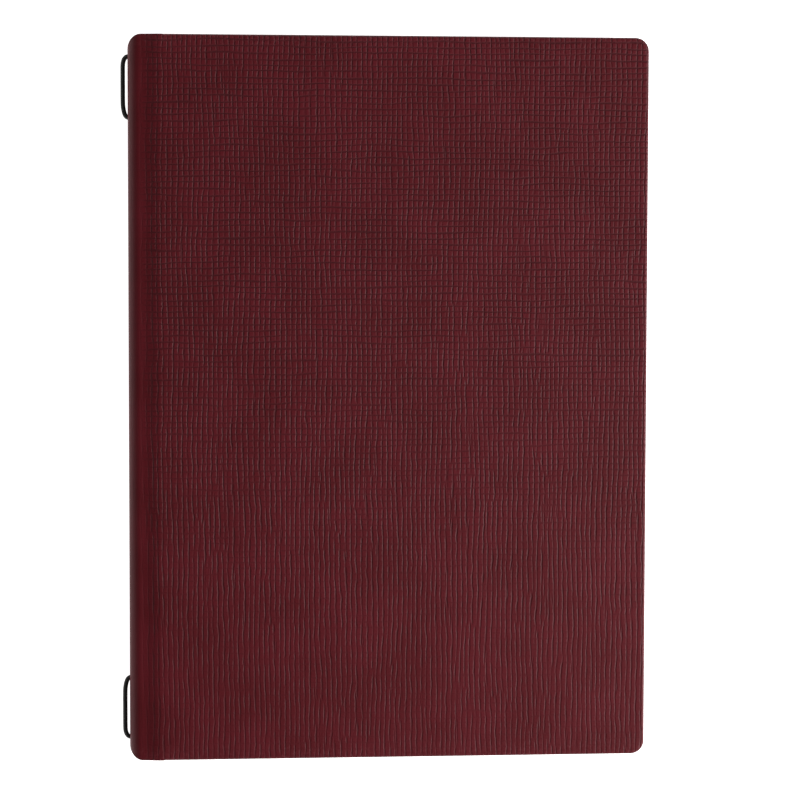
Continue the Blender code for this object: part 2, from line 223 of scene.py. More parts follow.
@dataclass(frozen=True)
class EmbossedLeatherette(Finish):
    """Polyurethane on a paper backing, hot-embossed with a cross grain of small tiles between
    drifting ribs. The eye sees fine lines, each with a lit and a shaded wall, on deep burgundy."""

    base: str = "#4e0b13"
    crest: str = "#540f18"
    groove_painted_shade: str = "#2e0409"
    worn: str = "#6a3238"
    specular: float = 0.21
    rib_pitch: float = 2.25
    rib_width: float = 0.52
    tile_pitch: float = 2.7
    row_width: float = 0.46
    relief: float = 0.00019

    def build(self) -> Material:
        """Reads the UV map, which is in metres along the skin, so the grain follows its folds.

        Returns:
            The finished material.
        """
        material, tree, shader = self.begin()
        shader.inputs["Specular IOR Level"].default_value = self.specular
        uv = add_node(tree, "ShaderNodeUVMap", uv_map="UVMap").outputs[0]
        mm = add_node(tree, "ShaderNodeMapping", {"Vector": uv, "Scale": (1000.0, 1000.0, 1.0)})
        parts = add_node(tree, "ShaderNodeSeparateXYZ", {0: mm}).outputs
        along, up = parts[0], parts[1]
        cut = add_node(tree, "ShaderNodeMath", {
            0: self.ribs(tree, mm, along), 1: self.rows(tree, mm, up)}, operation="MAXIMUM")
        # The grain is shallower round the spine and towards the tail, and so is the grooves' painted shade.
        off_spine = add_node(tree, "ShaderNodeMapRange", {
            "Value": add_node(tree, "ShaderNodeMath", {0: along}, operation="ABSOLUTE"),
            "From Min": 8.0,
            "From Max": 17.0,
            "To Min": 0.15,
            "To Max": 1.0,
        }, interpolation_type="SMOOTHSTEP")
        off_tail = add_node(tree, "ShaderNodeMapRange", {
            "Value": up,
            "From Min": -160.0,
            "From Max": -40.0,
            "To Min": 0.72,
            "To Max": 1.0,
        }, interpolation_type="SMOOTHSTEP")
        cut = add_node(tree, "ShaderNodeMath", {
            0: cut,
            1: add_node(tree, "ShaderNodeMath", {
                0: off_spine, 1: off_tail}, operation="MULTIPLY"),
        }, operation="MULTIPLY")
        pores = add_node(tree, "ShaderNodeTexNoise", {
            "Vector": mm, "Scale": 3.2, "Detail": 3.0, "Roughness": 0.6})
        height = add_node(tree, "ShaderNodeMath", {
            0: add_node(tree, "ShaderNodeMath", {0: pores, 1: 0.14}, operation="MULTIPLY"),
            1: cut,
        }, operation="SUBTRACT")
        self.bump(tree, shader, height, self.relief)
        self.colour(tree, shader, mm, cut, pores)
        return material

    def ribs(self, tree: Tree, mm: Output, along: Output) -> Output:
        """The upright grooves: two sets that take over from each other in patches.

        Args:
            tree: the material's or the modifier's node tree.
            mm: coordinates on the skin, in millimetres.
            along: millimetres along the skin from the middle of the spine.

        Returns:
            Their depth, from 0 to 1.
        """
        first, second = [
            self.lines(tree, self.drifting(tree, mm, along, seed), self.rib_pitch, self.rib_width)
            for seed in (0.0, 40.0)
        ]
        patches = add_node(tree, "ShaderNodeTexNoise", {
            "Vector": add_node(tree, "ShaderNodeMapping", {
                "Vector": mm, "Scale": (0.09, 0.03, 1.0)}),
            "Scale": 1.0,
            "Detail": 1.0,
        })
        patches = add_node(tree, "ShaderNodeMapRange", {
            "Value": patches,
            "From Min": 0.47,
            "From Max": 0.53,
        }, interpolation_type="SMOOTHSTEP")
        first = add_node(tree, "ShaderNodeMath", {
            0: first,
            1: add_node(tree, "ShaderNodeMath", {0: 1.0, 1: patches}, operation="SUBTRACT"),
        }, operation="MULTIPLY")
        both = add_node(tree, "ShaderNodeMath", {
            0: add_node(tree, "ShaderNodeMath", {0: second, 1: patches}, operation="MULTIPLY"),
            1: first,
        }, operation="ADD")
        depth = add_node(tree, "ShaderNodeTexNoise", {
            "Vector": add_node(tree, "ShaderNodeMapping", {
                "Vector": mm, "Scale": (0.35, 0.16, 1.0)}),
            "Scale": 1.0,
            "Detail": 2.0,
        })
        return add_node(tree, "ShaderNodeMath", {
            0: both,
            1: add_node(tree, "ShaderNodeMapRange", {
                "Value": depth,
                "From Min": 0.35,
                "From Max": 0.6,
                "To Min": 0.45,
                "To Max": 1.0,
            }, interpolation_type="SMOOTHSTEP"),
        }, operation="MULTIPLY")

    def rows(self, tree: Tree, mm: Output, up: Output) -> Output:
        """The grooves across, which wander, come and go in patches, and weaken towards the tail.

        Args:
            tree: the material's or the modifier's node tree.
            mm: coordinates on the skin, in millimetres.
            up: millimetres up the book.

        Returns:
            Their depth, from 0 to 1.
        """
        wander = add_node(tree, "ShaderNodeTexNoise", {
            "Vector": add_node(tree, "ShaderNodeMapping", {
                "Vector": mm, "Scale": (0.03, 0.13, 1.0)}),
            "Scale": 1.0,
        })
        place = add_node(tree, "ShaderNodeMath", {
            0: up,
            1: add_node(tree, "ShaderNodeMath", {0: wander, 1: 3.6}, operation="MULTIPLY"),
        }, operation="ADD")
        patches = add_node(tree, "ShaderNodeTexNoise", {
            "Vector": add_node(tree, "ShaderNodeMapping", {
                "Vector": mm, "Scale": (0.05, 0.09, 1.0)}),
            "Scale": 1.0,
            "Detail": 2.0,
        })
        patches = add_node(tree, "ShaderNodeMapRange", {
            "Value": patches,
            "From Min": 0.36,
            "From Max": 0.62,
            "To Min": 0.7,
            "To Max": 1.0,
        }, interpolation_type="SMOOTHSTEP")
        depth = add_node(tree, "ShaderNodeMath", {
            0: patches,
            1: add_node(tree, "ShaderNodeMapRange", {
                "Value": up,
                "From Min": -110.0,
                "From Max": 60.0,
                "To Min": 0.3,
                "To Max": 0.9,
            }, interpolation_type="SMOOTHSTEP"),
        }, operation="MULTIPLY")
        lines = self.lines(tree, place, self.tile_pitch, self.row_width)
        return add_node(tree, "ShaderNodeMath", {0: lines, 1: depth}, operation="MULTIPLY")

    def drifting(self, tree: Tree, mm: Output, along: Output, seed: float) -> Output:
        """Rib positions that wander, so that neighbouring ribs near and part.

        Args:
            tree: the material's or the modifier's node tree.
            mm: coordinates on the skin, in millimetres.
            along: millimetres along the skin from the middle of the spine.
            seed: shifts the noises, so that each set of ribs has its own.

        Returns:
            The distance along the skin, with the drift added.
        """
        drift = along
        for shift, scale, detail, reach in (
            ((seed, seed, 0.0), (0.03, 0.012, 1.0), 1.0, 4.5),
            ((seed, 0.0, 0.0), (0.24, 0.11, 1.0), 2.0, 1.6),
        ):
            place = add_node(tree, "ShaderNodeMapping", {
                "Vector": mm, "Location": shift, "Scale": scale})
            sway = add_node(tree, "ShaderNodeMath", {
                0: add_node(tree, "ShaderNodeTexNoise", {
                    "Vector": place.outputs[0], "Scale": 1.0, "Detail": detail}),
                1: reach,
            }, operation="MULTIPLY")
            drift = add_node(tree, "ShaderNodeMath", {0: drift, 1: sway}, operation="ADD")
        return drift

    def lines(self, tree: Tree, place: Output, pitch: float, width: float) -> Output:
        """Evenly pitched grooves: 1 in the middle of a groove and 0 between grooves."""
        apart = add_node(tree, "ShaderNodeMath", {
            0: add_node(tree, "ShaderNodeMath", {0: place, 1: pitch}, operation="DIVIDE"),
            1: 0.5,
        }, operation="PINGPONG")
        return add_node(tree, "ShaderNodeMapRange", {
            "Value": apart,
            "From Min": 0.0,
            "From Max": width / 2,
            "To Min": 1.0,
            "To Max": 0.0,
        }, interpolation_type="SMOOTHSTEP")

    def colour(self, tree: Tree, shader: Node, mm: Output, cut: Output, pores: Output) -> None:
        """Deep burgundy, with painted shade in the grooves that deepens with the grain, rubbed paler along
        the edges.

        Args:
            tree: the material's or the modifier's node tree.
            shader: the material's Principled BSDF.
            mm: coordinates on the skin, in millimetres.
            cut: the grain's depth, from 0 to 1; it also sets how much painted shade the grooves get.
            pores: a fine noise.
        """
        blotches = add_node(tree, "ShaderNodeTexNoise", {
            "Vector": mm, "Scale": 0.035, "Detail": 3.0})
        share = add_node(tree, "ShaderNodeMapRange", {
            "Value": blotches,
            "From Min": 0.35,
            "From Max": 0.65,
        }, interpolation_type="SMOOTHSTEP")
        tone = add_node(tree, "ShaderNodeMix", {
            SHARE: share,
            FIRST: linear(self.base),
            SECOND: linear(self.crest),
        }, data_type="RGBA").outputs[RESULT]
        # Painted shade: the colour darkens with the grooves' depth, so where the grain is deeper, towards
        # the head, the skin is darker.
        tone = add_node(tree, "ShaderNodeMix", {
            SHARE: add_node(tree, "ShaderNodeMath", {0: cut, 1: 0.75}, operation="MULTIPLY"),
            FIRST: tone,
            SECOND: linear(self.groove_painted_shade),
        }, data_type="RGBA").outputs[RESULT]
        edge = add_node(tree, "ShaderNodeAttribute", attribute_name="edge").outputs["Fac"]
        patches = add_node(tree, "ShaderNodeMapRange", {
            "Value": add_node(tree, "ShaderNodeTexNoise", {
                "Vector": mm, "Scale": 0.6, "Detail": 4.0, "Roughness": 0.7}),
            "From Min": 0.45,
            "From Max": 0.75,
        }, interpolation_type="SMOOTHSTEP")
        rub = add_node(tree, "ShaderNodeMath", {0: edge, 1: patches}, operation="MULTIPLY")
        tone = add_node(tree, "ShaderNodeMix", {
            SHARE: add_node(tree, "ShaderNodeMath", {0: rub, 1: 0.45}, operation="MULTIPLY"),
            FIRST: tone,
            SECOND: linear(self.worn),
        }, data_type="RGBA").outputs[RESULT]
        rough = self.rough_by(tree, pores, 0.06, 0.08)
        rougher = add_node(tree, "ShaderNodeMath", {0: cut, 1: 0.12}, operation="MULTIPLY")
        self.connect(
            tree,
            shader,
            tone,
            add_node(tree, "ShaderNodeMath", {0: rough, 1: rougher}, operation="ADD"),
        )


@dataclass(frozen=True)
class Greyboard(Finish):
    """Pressed waste paper: warm grey, matt and flecked with short fibres."""

    pale: str = "#a39b8e"
    dark: str = "#857d72"
    fleck: str = "#5b544c"

    def build(self) -> Material:
        """Fibres about 2 mm long, drawn by stretched noise on Object coordinates.

        Returns:
            The finished material.
        """
        material, tree, shader = self.begin()
        place = add_node(tree, "ShaderNodeTexCoord").outputs["Object"]
        pulp = add_node(tree, "ShaderNodeTexNoise", {
            "Vector": place, "Scale": 220.0, "Detail": 4.0, "Roughness": 0.6})
        fibres = add_node(tree, "ShaderNodeTexNoise", {
            "Vector": add_node(tree, "ShaderNodeMapping", {
                "Vector": place, "Scale": (400.0, 1500.0, 900.0)}),
            "Scale": 1.0,
            "Detail": 3.0,
            "Roughness": 0.6,
        })
        tone = add_node(tree, "ShaderNodeMix", {
            SHARE: add_node(tree, "ShaderNodeMapRange", {
                "Value": pulp,
                "From Min": 0.35,
                "From Max": 0.65,
            }, interpolation_type="SMOOTHSTEP"),
            FIRST: linear(self.dark),
            SECOND: linear(self.pale),
        }, data_type="RGBA").outputs[RESULT]
        tone = add_node(tree, "ShaderNodeMix", {
            SHARE: add_node(tree, "ShaderNodeMapRange", {
                "Value": fibres,
                "From Min": 0.62,
                "From Max": 0.7,
            }, interpolation_type="SMOOTHSTEP"),
            FIRST: tone,
            SECOND: linear(self.fleck),
        }, data_type="RGBA").outputs[RESULT]
        self.connect(tree, shader, tone, self.rough_by(tree, fibres, 0.1, 0.0))
        self.bump(tree, shader, fibres, 0.00008, 0.6)
        return material


@dataclass(frozen=True)
class LiningPaper(Finish):
    """Dyed-through black paper, calendered with a fine linen weave: dull, with a painted highlight on its
    threads.
    """

    base: str = "#1d1c1e"
    high: str = "#2a292b"
    thread: float = 0.7

    def build(self) -> Material:
        """Crossed sine bands 0.7 mm apart, coarser than real linen embossing so that they show.

        Returns:
            The finished material.
        """
        material, tree, shader = self.begin()
        place = add_node(tree, "ShaderNodeTexCoord").outputs["Object"]
        bands = []
        for direction in ("X", "Y"):
            sockets = {"Vector": place, "Scale": 0.314 / (self.thread * MM), "Distortion": 0.6,
                       "Detail Scale": 2.0}
            bands.append(add_node(tree, "ShaderNodeTexWave", sockets, wave_type="BANDS",
                                  bands_direction=direction).outputs["Fac"])
        weave = add_node(tree, "ShaderNodeMath", {0: bands[0], 1: bands[1]}, operation="MULTIPLY")
        mottle = add_node(tree, "ShaderNodeTexNoise", {
            "Vector": place, "Scale": 90.0, "Detail": 3.0})
        patches = add_node(tree, "ShaderNodeMapRange", {
            "Value": mottle,
            "From Min": NOISE_LOW,
            "From Max": NOISE_HIGH,
            "To Min": 0.5,
            "To Max": 1.0,
        }, interpolation_type="SMOOTHSTEP")
        # Painted highlight: the weave's raised threads are painted paler, more so in random patches.
        share = add_node(tree, "ShaderNodeMath", {0: weave, 1: patches}, operation="MULTIPLY")
        tone = add_node(tree, "ShaderNodeMix", {
            SHARE: share,
            FIRST: linear(self.base),
            SECOND: linear(self.high),
        }, data_type="RGBA").outputs[RESULT]
        self.connect(tree, shader, tone, self.rough_by(tree, mottle, 0.08, 0.06))
        self.bump(tree, shader, weave, 0.00005, 0.7)
        return material


@dataclass(frozen=True)
class BraidedElastic(Finish):
    """Rubber core under a braided polyester cover: near-black, with slanting strands painted paler,
    partly the braid's own tone and partly a painted highlight."""

    base: str = "#131312"
    strand_and_highlight: str = "#3b3b39"
    strands: float = 8.0
    lay: float = 1.5

    def build(self) -> Material:
        """Reads the UV map: U once round the cord, V in millimetres along it.

        Returns:
            The finished material.
        """
        material, tree, shader = self.begin()
        uv = add_node(tree, "ShaderNodeUVMap", uv_map="UVMap").outputs[0]
        parts = add_node(tree, "ShaderNodeSeparateXYZ", {0: uv}).outputs
        turns = add_node(tree, "ShaderNodeMath", {
            0: parts[0], 1: self.strands}, operation="MULTIPLY")
        steps = add_node(tree, "ShaderNodeMath", {0: parts[1], 1: self.lay}, operation="DIVIDE")
        slants = []
        for lean in ("ADD", "SUBTRACT"):
            apart = add_node(tree, "ShaderNodeMath", {
                0: add_node(tree, "ShaderNodeMath", {0: turns, 1: steps}, operation=lean),
                1: 0.5,
            }, operation="PINGPONG")
            slants.append(
                add_node(tree, "ShaderNodeMapRange", {
                    "Value": apart,
                    "From Min": 0.05,
                    "From Max": 0.45,
                }, interpolation_type="SMOOTHSTEP"),
            )
        braid = add_node(tree, "ShaderNodeMath", {
            0: slants[0], 1: slants[1]}, operation="MAXIMUM")
        fuzz = add_node(tree, "ShaderNodeTexNoise", {
            "Vector": add_node(tree, "ShaderNodeMapping", {
                "Vector": uv, "Scale": (30.0, 6.0, 1.0)}),
            "Scale": 1.0,
            "Detail": 2.0,
        })
        # The strands are painted paler: partly the braid's pattern, partly a painted highlight along the
        # cord.
        share = add_node(tree, "ShaderNodeMath", {0: braid, 1: fuzz}, operation="MULTIPLY")
        tone = add_node(tree, "ShaderNodeMix", {
            SHARE: share,
            FIRST: linear(self.base),
            SECOND: linear(self.strand_and_highlight),
        }, data_type="RGBA").outputs[RESULT]
        self.connect(tree, shader, tone, self.rough_by(tree, fuzz, 0.1, 0.1))
        self.bump(tree, shader, braid, 0.00012, 0.8)
        return material


@dataclass(frozen=True)
class CrimpedSteel(Finish):
    """Nickel-plated steel strip rolled and pressed into a sleeve: bright, with fine draw lines."""

    base: str = "#c6c4c0"
    dull: str = "#8d8a86"

    def build(self) -> Material:
        """Draw lines run along the sleeve; tarnish gathers in cloudy patches.

        Returns:
            The finished material.
        """
        material, tree, shader = self.begin()
        place = add_node(tree, "ShaderNodeTexCoord").outputs["Object"]
        draw = add_node(tree, "ShaderNodeTexNoise", {
            "Vector": add_node(tree, "ShaderNodeMapping", {
                "Vector": place, "Scale": (9000.0, 300.0, 9000.0)}),
            "Scale": 1.0,
            "Detail": 3.0,
        })
        cloud = add_node(tree, "ShaderNodeTexNoise", {
            "Vector": place, "Scale": 600.0, "Detail": 3.0})
        tone = add_node(tree, "ShaderNodeMix", {
            SHARE: add_node(tree, "ShaderNodeMapRange", {
                "Value": cloud,
                "From Min": 0.4,
                "From Max": 0.7,
            }, interpolation_type="SMOOTHSTEP"),
            FIRST: linear(self.base),
            SECOND: linear(self.dull),
        }, data_type="RGBA").outputs[RESULT]
        self.connect(tree, shader, tone, self.rough_by(tree, draw, 0.08, 0.14))
        self.bump(tree, shader, draw, 0.00002, 0.5)
        return material


@dataclass(frozen=True)
class ClearVinyl(Finish):
    """Plasticised PVC sheet, calendered and welded: clear and glossy, faintly rippled, and milky
    where the welding tool pressed it."""

    clear: str = "#dfe6ea"
    milky: str = "#eef1f2"
    opacity: float = 0.10
    weld_opacity: float = 0.42

    def build(self) -> Material:
        """Alpha rises in the weld lines, which the "weld" attribute marks; the UV map is in metres.

        Returns:
            The finished material.
        """
        material, tree, shader = self.begin()
        place = add_node(tree, "ShaderNodeUVMap", uv_map="UVMap").outputs[0]
        weld = add_node(tree, "ShaderNodeAttribute", attribute_name="weld").outputs["Fac"]
        ripple = add_node(tree, "ShaderNodeTexNoise", {
            "Vector": place, "Scale": 60.0, "Detail": 3.0, "Roughness": 0.45})
        stipple = add_node(tree, "ShaderNodeTexNoise", {
            "Vector": place, "Scale": 2600.0, "Detail": 1.0})
        haze = add_node(tree, "ShaderNodeMapRange", {
            "Value": ripple,
            "From Min": NOISE_LOW,
            "From Max": NOISE_HIGH,
            "To Min": self.opacity,
            "To Max": self.opacity + 0.05,
        }, interpolation_type="SMOOTHSTEP")
        milk = add_node(tree, "ShaderNodeMath", {
            0: weld, 1: self.weld_opacity - self.opacity}, operation="MULTIPLY")
        cloudy = add_node(tree, "ShaderNodeMath", {0: haze, 1: milk}, operation="ADD")
        tree.links.new(cloudy.outputs[0], shader.inputs["Alpha"])
        rough = add_node(tree, "ShaderNodeMath", {
            0: self.rough_by(tree, ripple, 0.0, 0.08),
            1: add_node(tree, "ShaderNodeMath", {0: weld, 1: 0.3}, operation="MULTIPLY"),
        }, operation="ADD")
        self.connect(
            tree,
            shader,
            add_node(tree, "ShaderNodeMix", {
                SHARE: weld,
                FIRST: linear(self.clear),
                SECOND: linear(self.milky),
            }, data_type="RGBA").outputs[RESULT],
            rough,
        )
        pips = add_node(tree, "ShaderNodeMath", {
            0: add_node(tree, "ShaderNodeMath", {0: stipple, 1: weld}, operation="MULTIPLY"),
            1: 0.1,
        }, operation="MULTIPLY")
        height = add_node(tree, "ShaderNodeMath", {0: ripple, 1: pips}, operation="ADD")
        self.bump(tree, shader, height, 0.0006, 0.5)
        return material


@dataclass(frozen=True)
class InsertCard(Finish):
    """Uncoated ivory card: matt and even, with soft fibres and a faint cloudy formation."""

    base: str = "#e8e1d1"
    toned: str = "#e2d9c7"

    def build(self) -> Material:
        """Cloudy formation about 8 mm across, and a fine tooth.

        Returns:
            The finished material.
        """
        material, tree, shader = self.begin()
        place = add_node(tree, "ShaderNodeTexCoord").outputs["Object"]
        cloud = add_node(tree, "ShaderNodeTexNoise", {
            "Vector": place, "Scale": 120.0, "Detail": 3.0})
        tooth = add_node(tree, "ShaderNodeTexNoise", {
            "Vector": place, "Scale": 1800.0, "Detail": 3.0, "Roughness": 0.6})
        share = add_node(tree, "ShaderNodeMapRange", {
            "Value": cloud,
            "From Min": NOISE_LOW,
            "From Max": NOISE_HIGH,
        }, interpolation_type="SMOOTHSTEP")
        tone = add_node(tree, "ShaderNodeMix", {
            SHARE: share,
            FIRST: linear(self.base),
            SECOND: linear(self.toned),
        }, data_type="RGBA").outputs[RESULT]
        self.connect(tree, shader, tone, self.rough_by(tree, tooth, 0.08, 0.05))
        self.bump(tree, shader, tooth, 0.00003, 0.6)
        return material


@dataclass(frozen=True)
class Finishes:
    """The album's materials, each built once."""

    leatherette: Material
    greyboard: Material
    lining: Material
    elastic: Material
    steel: Material
    film: Material
    card: Material

    @classmethod
    def build(cls) -> "Finishes":
        """Builds every finish.

        Returns:
            The set of finishes.
        """
        return cls(
            leatherette=EmbossedLeatherette("embossed_pu_leatherette", 0.5, 1.46).build(),
            greyboard=Greyboard("pressed_greyboard", 0.92).build(),
            lining=LiningPaper("calendered_lining_paper", 0.7).build(),
            elastic=BraidedElastic("braided_polyester_elastic", 0.75).build(),
            steel=CrimpedSteel("pressed_nickelled_steel", 0.28, metallic=1.0).build(),
            film=ClearVinyl("calendered_clear_vinyl", 0.12, 1.53).build(),
            card=InsertCard("uncoated_ivory_card", 0.9).build(),
        )


# ---------------------------------------------------------------- mesh helpers


def mesh_object(
    name: str, bm: BMesh, material: Material, turn_faces: bool = True
) -> Piece:
    """Turns a bmesh into a shown object.

    Args:
        name: the piece's name.
        bm: its mesh in frame coordinates; it is freed.
        material: its finish.
        turn_faces: whether to make the faces point outwards.

    Returns:
        The object, at the origin.
    """
    bmesh.ops.remove_doubles(bm, verts=bm.verts, dist=MERGE)
    if turn_faces:
        bmesh.ops.recalc_face_normals(bm, faces=bm.faces)
    mesh = bpy.data.meshes.new(name)
    bm.to_mesh(mesh)
    bm.free()
    mesh.materials.append(material)
    mesh.shade_smooth()
    return show(name, mesh)


def turn_outwards(mesh: bpy.types.Mesh) -> None:
    """Merges what coincides in a mesh and makes its faces point outwards.

    Args:
        mesh: the mesh to change.
    """
    bm = bmesh.new()
    bm.from_mesh(mesh)
    bmesh.ops.remove_doubles(bm, verts=bm.verts, dist=MERGE)
    bmesh.ops.recalc_face_normals(bm, faces=bm.faces)
    bm.to_mesh(mesh)
    bm.free()


def sharpen(piece: Piece, degrees: float = 32.0) -> None:
    """Keeps edges sharper than the angle crisp."""
    piece.data.set_sharp_from_angle(angle=math.radians(degrees))


def quads(bm: BMesh, first: Sequence[Vert], second: Sequence[Vert], closed: bool = False) -> None:
    """Faces between two rows of as many vertices.

    Args:
        bm: the mesh to add to.
        first: one row.
        second: the other row.
        closed: whether the rows are rings.
    """
    count = len(first)
    for i in range(count if closed else count - 1):
        j = (i + 1) % count
        bm.faces.new((first[i], first[j], second[j], second[i]))


def show(name: str, mesh: bpy.types.Mesh) -> Piece:
    """A new object in the scene, with the given mesh.

    Args:
        name: the piece's name.
        mesh: its mesh.

    Returns:
        The object.
    """
    made = bpy.data.objects.new(name, mesh)
    bpy.context.scene.collection.objects.link(made)
    return made


def plain_copy(source: Piece, name: str) -> Piece:
    """Replaces an object by the mesh that its modifiers make.

    Args:
        source: the object with modifiers; it is removed.
        name: the name of the result.

    Returns:
        A new object with that plain mesh and no modifiers.
    """
    bpy.context.view_layer.update()
    evaluated = source.evaluated_get(bpy.context.evaluated_depsgraph_get())
    mesh = bpy.data.meshes.new_from_object(evaluated)
    bpy.data.objects.remove(source)
    mesh.name = name
    return show(name, mesh)


def cut_out(piece: Piece, cutter: Piece) -> Piece:
    """Cuts one closed mesh out of another and removes the cutter.

    Args:
        piece: the mesh to cut.
        cutter: the mesh to take away; it is removed.

    Returns:
        The cut piece, under its old name.
    """
    modifier = piece.modifiers.new("cut", "BOOLEAN")
    modifier.operation = "DIFFERENCE"
    modifier.solver = "EXACT"
    modifier.object = cutter
    name = piece.name
    piece.name = name + "_uncut"
    made = plain_copy(piece, name)
    bpy.data.objects.remove(cutter)
    return made


def arc_points(centre: Flat, radius: float, start: float, end: float, steps: int) -> list[Flat]:
    """Points of an arc in degrees, both ends included."""
    turns = [math.radians(start + (end - start) * i / steps) for i in range(steps + 1)]
    return [(centre[0] + radius * math.cos(a), centre[1] + radius * math.sin(a)) for a in turns]


# ---------------------------------------------------------------- the case


@dataclass(frozen=True)
class Case:
    """Sizes of the case that its pieces share."""

    spine_x: float
    width: float
    height: float
    thickness: float
    fold_radius: float = 5.5 * MM
    shoulder_rise: float = 1.2 * MM
    shoulder_end: float = 14.5 * MM
    board_start: float = 15.5 * MM
    cover_thickness: float = 3.4 * MM
    corner: float = 6.0 * MM
    skin: float = 0.7 * MM
    turn_in: float = 0.5 * MM
    turn_in_width: float = 15.0 * MM
    outer_hole: float = 150.5 * MM
    inner_hole: float = 123.6 * MM

    @property
    def middle(self) -> float:
        """Height of the middle of the closed book."""
        return self.thickness / 2

    @property
    def fold_z(self) -> float:
        """Height of the centre of the back cover's fold."""
        return self.fold_radius + self.shoulder_rise

    @property
    def hinge(self) -> Flat:
        """Section point of the back fold's hinge line: halfway round the fold."""
        inset = self.fold_radius * (1 - math.cos(math.pi / 4))
        return inset, self.shoulder_rise + inset

    def shoulder(self, g: float) -> float:
        """Height of the back cover's outer face between its fold and its board."""
        share = (g - self.fold_radius) / (self.shoulder_end - self.fold_radius)
        return self.shoulder_rise * (1 + math.cos(math.pi * share)) / 2

    def place(self, g: float, y: float, z: float, half: Half = Half.BACK) -> Point:
        """A point of the frame, from a section's point in the back half or its mirror image."""
        return (self.spine_x + g, y, z if half is Half.BACK else self.thickness - z)


@dataclass(frozen=True)
class Station:
    """A place on the skin's outer face: its section point, its way on and inwards, and the
    distance along the skin from the middle of the spine."""

    at: Flat
    onward: Flat
    inward: Flat
    run: float


